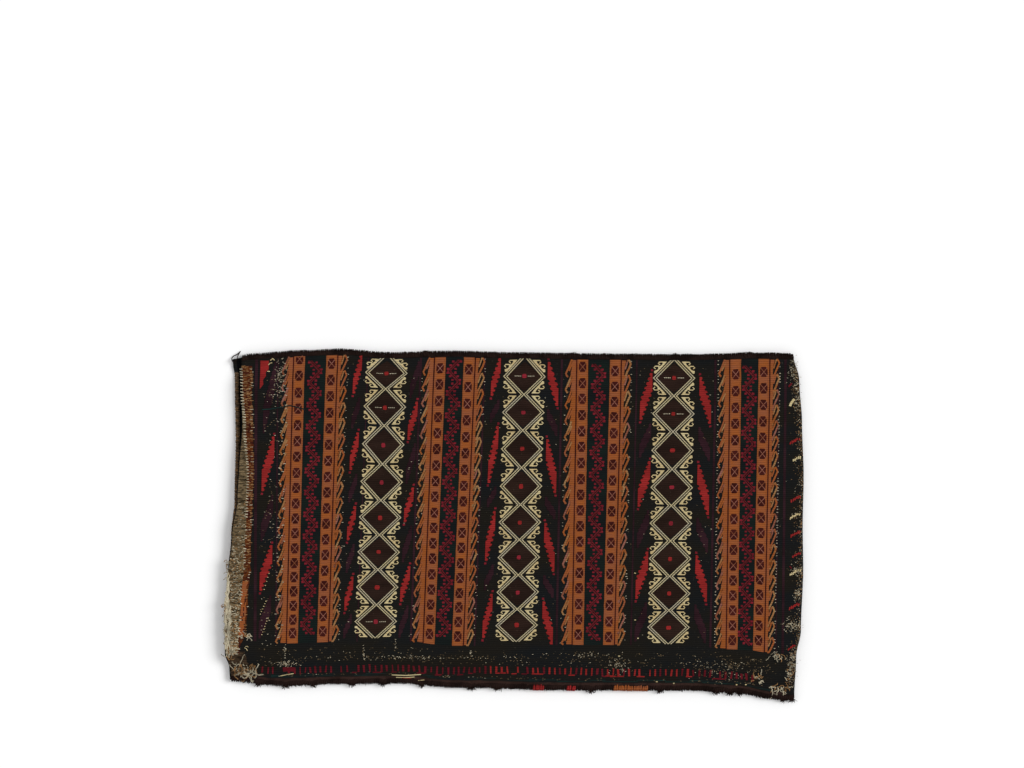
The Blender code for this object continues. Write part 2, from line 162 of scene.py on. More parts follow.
# Leaf columns: middle line at the top and bottom, lean from tip to tip, and the rows that each red leaf spans
LEAVES = (
    (-0.3905, -0.4000, -0.0190, ((0.274, 0.467), (0.656, 0.820))),
    (-0.2504, -0.2680, -0.0128, ((-0.004, 0.133), (0.267, 0.400), (0.526, 0.646), (0.772, 0.891))),
    (-0.1582, -0.1790, -0.0140, ((0.154, 0.288), (0.456, 0.579), (0.733, 0.860))),
    (-0.0288, -0.0448, -0.0145, ((0.0, 0.132), (0.236, 0.434), (0.531, 0.705), (0.819, 0.972))),
    (0.0625, 0.0521, 0.0175, ((0.010, 0.163), (0.281, 0.469), (0.573, 0.743), (0.847, 0.998))),
    (0.2120, 0.2008, -0.0188, ((0.045, 0.210), (0.355, 0.515), (0.672, 0.838))),
    (0.3064, 0.2960, 0.0195, ((0.058, 0.222), (0.365, 0.539), (0.683, 0.843))),
)
# Thin plum lines beside the leaf columns: place at the top and bottom, and width
PLUM_LINES = (
    (-0.4130, -0.4150, 0.0046), (-0.3785, -0.3815, 0.0024), (-0.2340, -0.2520, 0.0018),
    (-0.1496, -0.1660, 0.0034), (-0.0470, -0.0640, 0.0026), (0.0760, 0.0670, 0.0034),
    (0.1960, 0.1860, 0.0026), (0.3220, 0.3130, 0.0034), (0.4340, 0.4290, 0.0040), (0.4232, 0.4180, 0.0018),
)

# Worn end of the front panel: the line of pale stitches, as (share of the width, place)
WORN_LINE = (
    (0.0, -0.4372), (0.10, -0.4345), (0.22, -0.4300), (0.36, -0.4268), (0.50, -0.4290), (0.625, -0.4322),
    (0.75, -0.4376), (0.875, -0.4416), (1.0, -0.4440),
)
WORN_STRIP = (
    (0.0, 0.0170), (0.22, 0.0120), (0.36, 0.0098), (0.50, 0.0088), (0.70, 0.0110), (0.855, 0.0110),
    (0.89, 0.0020), (1.0, 0.0),
)

# Back panel's stripes, as (start, end, material slot)
BACK_STRIPES = (
    (-0.400, -0.372, 2), (-0.360, -0.352, 1), (-0.300, -0.262, 3), (-0.238, -0.230, 1), (-0.182, -0.160, 2),
    (-0.118, -0.106, 3), (-0.060, -0.050, 1), (0.030, 0.046, 2), (0.083, 0.098, 2), (0.160, 0.211, 1),
    (0.262, 0.270, 3), (0.300, 0.330, 2), (0.362, 0.370, 1), (0.400, 0.420, 3),
)


def length_value(name, default, about):
    """Give a property that holds a length."""
    return FloatProperty(name=name, description=about, default=default, unit="LENGTH")


def angle_value(name, default, about):
    """Give a property that holds an angle."""
    return FloatProperty(name=name, description=about, default=default, subtype="ANGLE")


def colour_value(name, default, about):
    """Give a property that holds a linear colour."""
    return FloatVectorProperty(name=name, description=about, default=default, subtype="COLOR", size=3,
                               min=0.0, max=1.0)


class BagSizes(bpy.types.PropertyGroup):
    """Sizes that a user would change."""

    cloth: length_value("Cloth", 0.0035, "Thickness of the cloth")
    grid: length_value("Cloth grid", 0.0060, "Size of the cloth's facets")
    wave: length_value("Wave", 0.0010, "Height of the cloth's soft waves")
    pucker: length_value("Pucker", 0.0006, "Height of the gathers along the laced sides")
    rib: length_value("Rib", 0.0030, "Distance between two warps, which show as ribs")
    weft: length_value("Weft", 0.0011, "Width of one weft yarn")
    relief: length_value("Yarn relief", 0.0005, "How far pattern yarns stand proud of the ground")
    lattice: length_value("Lattice line", 0.0021, "Width of a lattice line along the length")
    box_width: length_value("Box width", 0.0120, "Width of a dark box")
    box_height: length_value("Box height", 0.0164, "Height of a dark box")
    band: length_value("Band width", 0.0172, "Width of an orange band")
    stitch: length_value("Lacing pitch", 0.0034, "Distance between two turns of the side lacing")
    lace_yarn: length_value("Lacing yarn", 0.0026, "Thickness of the lacing yarn")
    seed: IntProperty(name="Seed", description="Start of the random draws", default=7, min=0)


class BagColours(bpy.types.PropertyGroup):
    """Yarn colours, as linear values."""

    ground: colour_value("Ground", (0.0075, 0.0085, 0.0095), "Blue-black ground yarn")
    green: colour_value("Green", (0.0070, 0.0125, 0.0105), "Dark green ground yarn")
    brown: colour_value("Brown", (0.0240, 0.0125, 0.0090), "Dark brown yarn inside the diamonds")
    plum: colour_value("Plum", (0.0310, 0.0115, 0.0160), "Plum yarn of the thin lines and dim leaves")
    orange: colour_value("Orange", (0.2740, 0.0765, 0.0180), "Orange yarn of the bands")
    rose: colour_value("Rose", (0.2380, 0.0750, 0.0320), "Faded orange yarn")
    tan: colour_value("Tan", (0.2900, 0.1600, 0.0680), "Tan yarn of the vines and stitches")
    cream: colour_value("Cream", (0.5400, 0.4550, 0.2500), "Cream yarn")
    bone: colour_value("Bone", (0.5200, 0.4600, 0.3300), "Undyed warp where it lies bare")
    red: colour_value("Red", (0.2700, 0.0200, 0.0190), "Red yarn")
    crimson: colour_value("Crimson", (0.1920, 0.0150, 0.0240), "Crimson yarn")
    pink: colour_value("Pink", (0.2500, 0.1020, 0.0740), "Pale rose thread")
    thread: colour_value("Zigzag thread", (0.2200, 0.0500, 0.0550), "Dull rose thread along the zigzags")
    teal: colour_value("Teal", (0.0080, 0.0300, 0.0260), "Teal weft lines of the lower border")
    hem: colour_value("Hem", (0.1900, 0.1200, 0.0700), "Brown yarn of the rolled hem")
    maroon: colour_value("Maroon", (0.0560, 0.0100, 0.0080), "Maroon yarn of the boxes")
    olive: colour_value("Olive", (0.1900, 0.1350, 0.0720), "Worn greyish weave at the mouth")
    goat: colour_value("Goat hair", (0.0200, 0.0105, 0.0085), "Dark goat hair of the lacing")


class StageSizes(bpy.types.PropertyGroup):
    """Camera, floor and lamps."""

    camera_x: length_value("Camera X", -0.0040, "Camera's place along the bag")
    camera_y: length_value("Camera Y", 0.2256, "Camera's place across the bag")
    camera_height: length_value("Camera height", 4.566, "Height of the lens above the floor")
    lens: FloatProperty(name="Lens", description="Focal length in millimetres", default=100.0)
    floor: colour_value("Floor", (1.0, 1.0, 1.0), "Floor colour")
    world: FloatProperty(name="World light", description="Strength of the even light", default=0.62)
    key: FloatProperty(name="Key light", description="Strength of the soft distant lamp", default=2.0)
    key_height: angle_value("Key height", 0.70, "Elevation of the lamp")
    key_turn: angle_value("Key turn", 0.20, "Direction of the lamp, from +X")
    key_size: angle_value("Key size", 0.55, "Width of the lamp as the bag sees it")


def mix(a, b, t):
    return a + (b - a) * t


def ease(t):
    """Run smoothly from 0 to 1."""
    t = min(max(t, 0.0), 1.0)
    return t * t * (3.0 - 2.0 * t)


def read_line(points, share):
    """Read a value at a share of a line, eased between its points."""
    for (start, first), (end, second) in zip(points, points[1:]):
        if share <= end:
            return mix(first, second, ease((share - start) / (end - start)))
    return points[-1][1]


def length_share(x):
    return x / NOMINAL_LENGTH + 0.5


def drift(x, y, z):
    """Give smooth noise, from about -1 to 1, at a place."""
    return noise.noise(Vector((x, y, z)))


def hem_x(v):
    return -NOMINAL_LENGTH / 2 + read_line(HEM_INSET, v)


def mouth_x(v):
    return hem_x(v) + read_line(MOUTH_SETBACK, v)


def upper_y(x):
    return NOMINAL_WIDTH / 2 - read_line(UPPER_INSET, length_share(x))


def lower_y(x):
    return -NOMINAL_WIDTH / 2 + read_line(LOWER_INSET, length_share(x))


def bag_y(x, v):
    """Give the place across the bag at a share of its width."""
    return mix(upper_y(x), lower_y(x), v)


def field_top(x):
    return upper_y(x) - FIELD_MARGIN


def field_bottom(x):
    return lower_y(x) + read_line(LOWER_BORDER, length_share(x))


def on_field(top, bottom, row, shift=0.0, drop=0.0):
    """Give a point beside a leaning column, at a row's share of the field's height."""
    x = mix(top, bottom, row) + shift
    return x, mix(field_top(x), field_bottom(x), row) - drop


def field_height(top, bottom):
    x = mix(top, bottom, 0.5)
    return field_top(x) - field_bottom(x)


class Cloth:
    """The shape of the folded cloth: where its surfaces lie."""

    def __init__(self, sizes):
        self.thick = sizes.cloth
        self.wave = sizes.wave
        self.pucker = sizes.pucker

    def side(self, v):
        return min(v, 1.0 - v) * (NOMINAL_WIDTH - 2 * LACE_COVER)

    def pinch(self, v):
        return ease((self.side(v) - LACED_BAND) / PINCH_RUN)

    def lift(self, v):
        return LACE_COVER * (1.0 - ease((self.side(v) - LACED_BAND) / LIFT_RUN))

    def radius(self, v):
        return mix(SIDE_GAP, FOLD_GAP, self.pinch(v)) / 2

    def axis_x(self, v):
        return NOMINAL_LENGTH / 2 - read_line(NOSE_INSET, v) - self.radius(v) - self.thick

    def across(self, x, v):
        return mix(upper_y(x) - LACE_COVER, lower_y(x) + LACE_COVER, v)

    def plan(self, u, v):
        x = mix(mouth_x(v), self.axis_x(v), u)
        return x, self.across(x, v)

    def place(self, x, y):
        """Turn a plan position into its shares along and across the front panel."""
        upper = upper_y(x) - LACE_COVER
        v = (upper - y) / (upper - lower_y(x) - LACE_COVER)
        v = min(max(v, 0.0), 1.0)
        start = mouth_x(v)
        return (x - start) / (self.axis_x(v) - start), v

    def gap(self, u, v):
        middle = mix(FOLD_GAP, BODY_GAP, ease(NOMINAL_LENGTH * (1.0 - u) / FOLD_RUN))
        return mix(SIDE_GAP, middle, self.pinch(v))

    def ripple(self, x, y, v):
        """Give the soft waves of the front panel and the gathers beside its laced sides."""
        soft = drift(x * 7.0, y * 10.0, 0.3) + 0.5 * drift(x * 17.0, y * 21.0, 4.1)
        near = math.exp(-self.side(v) / GATHER_REACH)
        gather = math.sin(math.tau * (x / GATHER_PITCH + 0.8 * drift(x * 20.0, v * 3.0, 9.0)))
        return self.wave * soft * (0.25 + 0.75 * self.pinch(v)) + self.pucker * near * gather

    def front(self, x, y):
        """Give the height of the front panel's outside at a plan position, past the fold as well."""
        u, v = self.place(x, y)
        if u <= 1.0:
            base = self.lift(v) + 2 * self.thick + self.gap(max(u, 0.0), v)
            return base + self.ripple(x, y, v) * min(1.0, (1.0 - u) * 30.0)
        outer = self.radius(v) + self.thick
        reach = min(x - self.axis_x(v), outer)
        return self.lift(v) + outer + math.sqrt(max(outer * outer - reach * reach, 0.0))


def signed_area(points):
    """Give twice the area inside a closed outline, negative where it runs clockwise."""
    return sum(a[0] * b[1] - b[0] * a[1] for a, b in zip(points, points[1:] + points[:1]))


def between(a, b, t):
    return mix(a[0], b[0], t), mix(a[1], b[1], t)


def refine(path, step):
    """Put points between a path's own, at most a step apart."""
    fine = [path[0]]
    for a, b in zip(path, path[1:]):
        parts = max(1, math.ceil(math.dist(a, b) / step))
        fine += [between(a, b, i / parts) for i in range(1, parts + 1)]
    return fine


class YarnMesh:
    """Collects the small raised patches of one yarn, laid on the front panel."""

    def __init__(self, cloth, name, kind, seed=0, wobble=0.0):
        self.mesh = bmesh.new()
        self.cloth = cloth
        self.name = name
        self.kind = kind
        self.draw = random.Random(seed)
        self.wobble = wobble

    def lay(self, flat, high):
        """Copy a flat sheet of faces onto the cloth, raised, with a wall round its border."""
        tops = {}
        feet = {}

        def top(vert):
            if vert not in tops:
                x, y, _ = vert.co
                tops[vert] = self.mesh.verts.new((x, y, self.cloth.front(x, y) + high))
            return tops[vert]

        def foot(vert):
            if vert not in feet:
                x, y, z = top(vert).co
                feet[vert] = self.mesh.verts.new((x, y, z - high - FOOT))
            return feet[vert]

        for face in flat.faces:
            self.mesh.faces.new([top(vert) for vert in face.verts])
            for loop in face.loops:
                if len(loop.edge.link_faces) == 1:
                    a, b = loop.vert, loop.link_loop_next.vert
                    self.mesh.faces.new((foot(a), foot(b), top(b), top(a)))
        flat.free()

    def shake(self, points):
        if not self.wobble:
            return points
        return [(x + self.draw.uniform(-1, 1) * self.wobble, y + self.draw.uniform(-1, 1) * self.wobble)
                for x, y in points]

    def patch(self, points, high, step=STRIP):
        """Raise a filled outline, cut into narrow strips so that it follows the cloth."""
        points = self.shake(points)
        if signed_area(points) < 0:
            points = points[::-1]
        flat = bmesh.new()
        flat.faces.new([flat.verts.new((x, y, 0.0)) for x, y in points])
        for axis, size in ((1, step), (0, WIDE_STRIP)):
            low = min(point[axis] for point in points)
            top = max(point[axis] for point in points)
            parts = math.ceil((top - low) / size)
            across = Vector((0, 1, 0)) if axis else Vector((1, 0, 0))
            for part in range(1, parts):
                bmesh.ops.bisect_plane(flat, geom=flat.verts[:] + flat.edges[:] + flat.faces[:],
                                       plane_co=across * mix(low, top, part / parts), plane_no=across)
        self.lay(flat, high)

    def block(self, x, y, wide, tall, high, lean=0.0):
        """Raise a block, with its upper edge shifted by the lean."""
        left, right = x - wide / 2, x + wide / 2
        low, top = y - tall / 2, y + tall / 2
        self.patch([(left, low), (right, low), (right + lean, top), (left + lean, top)], high)

    def stroke(self, path, width, high, step=0.0060):
        """Raise a line of even width along a path."""
        fine = refine(self.shake(path), step)
        left = []
        right = []
        for i, (x, y) in enumerate(fine):
            a = fine[max(i - 1, 0)]
            b = fine[min(i + 1, len(fine) - 1)]
            size = math.dist(a, b) or 1.0
            nx, ny = -(b[1] - a[1]) / size, (b[0] - a[0]) / size
            left.append((x + nx * width / 2, y + ny * width / 2))
            right.append((x - nx * width / 2, y - ny * width / 2))
        self.ladder(left, right, high)

    def ladder(self, left, right, high):
        """Raise the strip between two edges with as many points as each other, cut to follow the cloth."""
        if signed_area(right + left[::-1]) < 0:
            left, right = right, left
        flat = bmesh.new()
        parts = math.ceil(max(math.dist(a, b) for a, b in zip(left, right)) / LADDER_STRIP)
        lines = [[flat.verts.new((*between(a, b, part / parts), 0.0)) for a, b in zip(left, right)]
                 for part in range(parts + 1)]
        for near, far in zip(lines, lines[1:]):
            for i in range(len(left) - 1):
                flat.faces.new((far[i], far[i + 1], near[i + 1], near[i]))
        self.lay(flat, high)

    def slanted(self, path, width, high, step=0.0060):
        """Raise a line whose width is measured along the bag's length."""
        fine = refine(path, step)
        self.ladder([(x - width / 2, y) for x, y in fine], [(x + width / 2, y) for x, y in fine], high)

    def upright(self, top, bottom, shift, width, high, ragged=0.0):
        """Raise a strip that runs down the field beside a column."""
        count = max(2, math.ceil(field_height(top, bottom) / UPRIGHT_STEP))
        left = []
        right = []
        for i in range(count + 1):
            row = i / count
            place = row * 90.0, shift * 300.0 + top * 50.0
            left.append(on_field(top, bottom, row, shift - width / 2 + ragged * drift(*place, 2.0)))
            right.append(on_field(top, bottom, row, shift + width / 2 + ragged * drift(*place, 7.0)))
        self.ladder(left, right, high)

    def dash(self, x, y, length, width, high, angle=0.0):
        """Raise a short straight mark."""
        dx, dy = math.cos(angle) * length / 2, math.sin(angle) * length / 2
        self.stroke([(x - dx, y - dy), (x + dx, y + dy)], width, high)


def new_piece(mesh, name, kinds, slot="patterned_wool", crease=None):
    """Turn a mesh into a smooth piece that rides on the bag, in the finishes of its yarns."""
    data = bpy.data.meshes.new(name)
    mesh.to_mesh(data)
    mesh.free()
    for kind in kinds:
        data.materials.append(yarn(kind))
    data.shade_smooth()
    if crease:
        data.set_sharp_from_angle(angle=crease)
    thing = bpy.data.objects.new(name, data)
    bpy.context.scene.collection.objects.link(thing)
    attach(thing, "root")
    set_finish(thing, slot)
    return thing


def finish(*yarns):
    """Turn each yarn's patches into a piece."""
    for each in yarns:
        wide = [face for face in each.mesh.faces if len(face.verts) > 4]
        bmesh.ops.triangulate(each.mesh, faces=wide, ngon_method="EAR_CLIP")
        new_piece(each.mesh, each.name, [each.kind], crease=CREASE)


def tube(mesh, points, radius, sides=5):
    """Add a closed tube along points; the radius may be one value for each point."""
    count = len(points)
    radii = radius if hasattr(radius, "__len__") else [radius] * count
    rings = []
    normal = None
    for i, point in enumerate(points):
        along = (points[min(i + 1, count - 1)] - points[max(i - 1, 0)]).normalized()
        if normal is None:
            helper = Vector((0, 0, 1)) if abs(along.z) < 0.9 else Vector((1, 0, 0))
            normal = along.cross(helper).normalized()
        else:
            normal = (normal - along * normal.dot(along)).normalized()
        other = along.cross(normal)
        rings.append([
            mesh.verts.new(point + (normal * math.cos(a) + other * math.sin(a)) * radii[i])
            for a in (math.tau * s / sides for s in range(sides))
        ])
    for here, there in zip(rings, rings[1:]):
        for s in range(sides):
            t = (s + 1) % sides
            mesh.faces.new((here[s], here[t], there[t], there[s]))
    mesh.faces.new(rings[0][::-1])
    mesh.faces.new(rings[-1])

# Materials


def add(tree, kind, sockets=None, **settings):
    """Add a node; sockets give its inputs, as values or as the outputs that feed them."""
    node = tree.nodes.new(kind)
    rank, place = divmod(len(tree.nodes), 8)
    node.location = (180 * place, -260 * rank)
    for key, value in settings.items():
        setattr(node, key, value)
    for key, value in (sockets or {}).items():
        if isinstance(value, bpy.types.NodeSocket):
            tree.links.new(value, node.inputs[key])
        else:
            node.inputs[key].default_value = value
    return node


def calc(tree, operation, *values):
    """Add a Math node on sockets or plain numbers."""
    return add(tree, "ShaderNodeMath", dict(enumerate(values)), operation=operation).outputs[0]


def remap(tree, value, low, high, to_low=0.0, to_high=1.0, how="SMOOTHSTEP"):
    """Stretch a value from one range to another."""
    sockets = {"Value": value, "From Min": low, "From Max": high, "To Min": to_low, "To Max": to_high}
    return add(tree, "ShaderNodeMapRange", sockets, interpolation_type=how).outputs[0]


def speckle(tree, place, scale, seed=None, detail=2.0, roughness=0.5):
    """Add noise, which a seed makes its own for each yarn."""
    sockets = {"Vector": place, "Scale": scale, "Detail": detail, "Roughness": roughness}
    if seed is not None:
        sockets["W"] = seed
    depth = "3D" if seed is None else "4D"
    return add(tree, "ShaderNodeTexNoise", sockets, noise_dimensions=depth).outputs["Fac"]


def colour_mix(tree, factor, first, second, blend="MIX"):
    """Mix two colours, through the colour sockets of a Mix node."""
    sockets = {0: factor, 6: first, 7: second}
    return add(tree, "ShaderNodeMix", sockets, data_type="RGBA", blend_type=blend).outputs[2]


def new_group(name, inputs, outputs):
    """Start a node group of plain values; return its tree, its inputs and the place on the piece."""
    tree = bpy.data.node_groups.new(name, "ShaderNodeTree")
    for label, default in inputs.items():
        socket = tree.interface.new_socket(label, in_out="INPUT", socket_type="NodeSocketFloat")
        socket.default_value = default
    for label in outputs:
        tree.interface.new_socket(label, in_out="OUTPUT", socket_type="NodeSocketFloat")
    return tree, add(tree, "NodeGroupInput").outputs, add(tree, "ShaderNodeTexCoord").outputs["Object"]


def weave_group():
    """Weft-faced weave: ribs over the warps, crossed by fine wefts, with dye changes and wear, and painted
    shade in the valleys between them that turns to painted highlight on their tops.
    """
    tree, start, place = new_group(
        "Weft Faced Weave", {"Rib": 0.003, "Weft": 0.0011, "Dye Size": 0.03, "Seed": 0.0},
        ("Shade", "Dye", "Wear", "Height"),
    )

    def wave(turns):
        """Swing from 0 to 1 and back once a turn."""
        swing = calc(tree, "SINE", calc(tree, "MULTIPLY", turns, math.tau))
        return calc(tree, "MULTIPLY_ADD", swing, 0.5, 0.5)

    split = add(tree, "ShaderNodeSeparateXYZ", {0: place}).outputs
    wander = calc(tree, "MULTIPLY", speckle(tree, place, 45.0), 1.1)
    ribs = calc(tree, "ADD", calc(tree, "DIVIDE", split["Y"], start["Rib"]), wander)
    odd = calc(tree, "MULTIPLY", calc(tree, "FLOOR", ribs), 0.5)
    wefts = calc(tree, "ADD", calc(tree, "DIVIDE", split["X"], start["Weft"]), odd)
    wefts = calc(tree, "ADD", wefts, wander)
    height = calc(tree, "MULTIPLY_ADD", wave(wefts), 0.20, calc(tree, "MULTIPLY", wave(ribs), 0.62))
    height = calc(tree, "MULTIPLY_ADD", speckle(tree, place, 620.0, detail=3.0), 0.45, height)
    stretched = add(tree, "ShaderNodeMapping", {"Scale": (0.35, 1.0, 0.35), "Vector": place}).outputs[0]
    dye = speckle(tree, stretched, calc(tree, "DIVIDE", 1.0, start["Dye Size"]), start["Seed"], 3.0, 0.65)
    # Shade is painted shade: darker in the valleys of the ribs and wefts, lighter on their tops
    add(tree, "NodeGroupOutput", {
        "Shade": remap(tree, height, 0.15, 0.95, 0.62, 1.18, "LINEAR"),
        "Dye": remap(tree, dye, 0.34, 0.66),
        "Wear": remap(tree, speckle(tree, place, 330.0, start["Seed"]), 0.64, 0.76),
        "Height": height,
    })
    return tree


def hair_group():
    """Spun hair: fine strands with painted shade where they lie low, and soft patches of fading."""
    tree, start, place = new_group("Spun Hair", {"Strand": 0.0009, "Seed": 0.0}, ("Shade", "Fade", "Height"))
    fine = speckle(tree, place, calc(tree, "DIVIDE", 1.0, start["Strand"]), start["Seed"], 3.0)
    # Shade is painted shade: darker where the fine strands' height is low, lighter where it is high
    add(tree, "NodeGroupOutput", {
        "Shade": remap(tree, fine, 0.3, 0.7, 0.55, 1.3, "LINEAR"),
        "Fade": remap(tree, speckle(tree, place, 60.0), 0.40, 0.65),
        "Height": fine,
    })
    return tree


def tint(base, factor=1.0, warm=0.0):
    """Give one of the bag's colours, lightened or darkened, and warmed if wanted."""
    red, green, blue = getattr(bpy.context.scene.bag_colours, base)
    return red * factor * (1 + warm), green * factor, blue * factor * (1 - warm), 1.0


def new_material(name, roughness, specular=0.04):
    material = bpy.data.materials.new(name)
    material.use_nodes = True
    shader = material.node_tree.nodes["Principled BSDF"]
    shader.inputs["Roughness"].default_value = roughness
    shader.inputs["Specular IOR Level"].default_value = specular
    return material, material.node_tree, shader


def texture_masks(tree, name, build, values):
    """Place a shared texture, built the first time that it is wanted, and give its masks."""
    shared = bpy.data.node_groups.get(name) or build()
    return add(tree, "ShaderNodeGroup", values, node_tree=shared).outputs


def cover(tree, shader, masks, colour, strength, depth):
    """Multiply the colour by the texture's painted shade, darker in its hollows and lighter on its ridges, and
    raise its height as bump.
    """
    tree.links.new(colour_mix(tree, 1.0, colour, masks["Shade"], "MULTIPLY"), shader.inputs["Base Color"])
    bump = add(tree, "ShaderNodeBump", {"Strength": strength, "Distance": depth, "Height": masks["Height"]})
    tree.links.new(bump.outputs[0], shader.inputs["Normal"])


def wool(name, first, second, seed, dye_size, worn=None, share=0.0, depth=0.0007):
    """Woven wool yarn: two shades of dye, ribs and wefts with painted shade between them, and bare spots where
    it is worn.
    """
    sizes = bpy.context.scene.bag_sizes
    material, tree, shader = new_material(name, 0.92)
    values = {"Rib": sizes.rib, "Weft": sizes.weft, "Dye Size": dye_size, "Seed": seed}
    masks = texture_masks(tree, "Weft Faced Weave", weave_group, values)
    dyed = colour_mix(tree, masks["Dye"], tint(*first), tint(*second))
    if worn:
        dyed = colour_mix(tree, calc(tree, "MULTIPLY", masks["Wear"], share), dyed, tint(*worn))
    cover(tree, shader, masks, dyed, 0.55, depth)
    return material


def hair(name, first, second, seed):
    """Spun hair or bare warp yarn."""
    material, tree, shader = new_material(name, 0.85)
    masks = texture_masks(tree, "Spun Hair", hair_group, {"Seed": seed})
    cover(tree, shader, masks, colour_mix(tree, masks["Fade"], tint(*first), tint(*second)), 0.6, 0.0004)
    return material


# Finish of each yarn: how it is made, its name, two shades as (colour, factor, warmth) and its seed. Woven
# ones add the size of their dye changes, and worn ones the wear's colour, its share and the weave's depth
YARNS = {
    "ground": (wool, "ground_wool", ("ground",), ("ground", 1.1, 0.35), 1, 0.05, ("bone",), 0.05),
    "green": (wool, "green_wool", ("green",), ("ground", 0.9), 2, 0.03),
    "brown": (wool, "brown_wool", ("brown",), ("brown", 0.62), 3, 0.025, ("bone",), 0.05),
    "plum": (wool, "plum_wool", ("plum",), ("plum", 0.55), 4, 0.03),
    "orange": (wool, "orange_wool", ("orange",), ("rose",), 5, 0.016, ("tan", 1.3), 0.25),
    "rose": (wool, "rose_wool", ("rose",), ("orange", 0.9), 6, 0.02),
    "tan": (wool, "tan_wool", ("tan",), ("orange", 0.85), 7, 0.012),
    "cream": (wool, "cream_wool", ("cream",), ("cream", 0.80, 0.10), 8, 0.018),
    "line": (wool, "lattice_wool", ("cream", 0.86), ("bone", 0.75), 9, 0.012),
    "red": (wool, "red_wool", ("red",), ("red", 0.72), 10, 0.02),
    "crimson": (wool, "crimson_wool", ("crimson",), ("crimson", 0.62), 11, 0.012),
    "pink": (wool, "pink_wool", ("pink",), ("rose", 0.7), 12, 0.01),
    "thread": (wool, "zigzag_thread_wool", ("thread",), ("thread", 0.7), 12, 0.01),
    "wine": (wool, "wine_wool", ("crimson", 0.85), ("crimson", 0.55), 11, 0.012),
    "soot": (wool, "sooty_wool", ("maroon", 0.45), ("maroon", 0.25), 21, 0.012),
    "cherry": (wool, "cherry_wool", ("crimson", 1.25), ("crimson", 0.9), 22, 0.012),
    "teal": (wool, "teal_wool", ("teal",), ("ground", 1.2), 18, 0.02),
    "maroon": (wool, "maroon_wool", ("maroon",), ("maroon", 0.55), 13, 0.012),
    "olive": (wool, "worn_wool", ("olive",), ("olive", 0.10), 14, 0.0030, ("bone",), 0.8, 0.0012),
    "rust": (wool, "worn_orange_wool", ("orange", 0.40), ("maroon", 0.6), 15, 0.0045, ("tan", 1.2), 0.6,
             0.001),
    "bare": (wool, "bare_corner_wool", ("hem", 0.30), ("hem", 0.07), 19, 0.0035, ("tan",), 0.5),
    # The inner finish is darker than the ground: painted shade inside the open mouth
    "gap": (wool, "inner_wool", ("ground", 0.45), ("ground", 0.35), 16, 0.05),
    "rim": (wool, "rim_wool", ("hem",), ("hem", 0.22), 17, 0.0035, ("tan",), 0.8),
    "madder": (wool, "madder_wool", ("crimson", 0.62), ("crimson", 0.42), 20, 0.012),
    "felt": (hair, "felted_hair", ("goat", 1.7), ("goat", 1.1), 4),
    "dust": (hair, "dusty_warp", ("bone", 0.30, 0.25), ("bone", 0.14, 0.25), 3),
    "straw": (hair, "straw_warp", ("tan", 1.1), ("tan", 0.6), 5),
    "goat": (hair, "goat_hair", ("goat",), ("goat", 0.55), 1),
    "bone": (hair, "bare_warp", ("bone",), ("bone", 0.6), 2),
}


def yarn(kind):
    """Give the finish of one of the bag's yarns, made the first time that it is wanted."""
    make, name, *values = YARNS[kind]
    return bpy.data.materials.get(name) or make(name, *values)


# The cloth


def fold_section(cloth, v, along, turns):
    """Follow the strip's closed section at one share of the width.

    Returns the outer chain from the front's mouth to the hem, the hem, the inner chain and the mouth edge.
    """
    radius, axis, lift, thick = cloth.radius(v), cloth.axis_x(v), cloth.lift(v), cloth.thick
    centre = lift + thick + radius

    def turn(step, distance):
        angle = math.pi * (0.5 - step / turns)
        x, z = axis + distance * math.cos(angle), centre + distance * math.sin(angle)
        return Vector((x, cloth.across(axis, v), z))

    outer = []
    inner = []
    for i in range(along + 1):
        x, y = cloth.plan(i / along, v)
        outer.append(Vector((x, y, cloth.front(x, y))))
        inner.append(Vector((x, y, cloth.front(x, y) - thick)))
    outer += [turn(step, radius + thick) for step in range(1, turns)]
    inner += [turn(step, radius) for step in range(1, turns)]
    for i in range(along, -1, -1):
        x = mix(hem_x(v) + HEM_WIDE, axis, i / along)
        y = cloth.across(x, v)
        outer.append(Vector((x, y, lift)))
        inner.append(Vector((x, y, lift + thick)))
    hem = [hem_point(cloth, v, degrees) for degrees in range(-90, 151, 30)]
    first = outer[0]
    edge = [Vector((first.x - out, first.y, first.z - thick * down)) for out, down in MOUTH_EDGE]
    return outer, hem, inner[::-1], edge


def hem_point(cloth, v, degrees, proud=0.0, slip=0.0, rise=0.0):
    """Give a point round the rolled hem, or of a stitch that stands proud of it."""
    x = hem_x(v)
    angle = math.radians(degrees)
    high = mix(cloth.thick, HEM_HIGH, cloth.pinch(v)) / 2
    out = x + HEM_WIDE / 2 * (1.0 - math.cos(angle)) - proud * math.cos(angle)
    y = cloth.across(x, v) - slip if proud else cloth.across(out, v)
    return Vector((out, y, cloth.lift(v) + high * (1.0 + math.sin(angle)) + rise))


def back_slot(x):
    """Give the material slot of the back panel's stripe at a place along it."""
    for start, end, slot in BACK_STRIPES:
        if start <= x <= end:
            return slot
    return 0


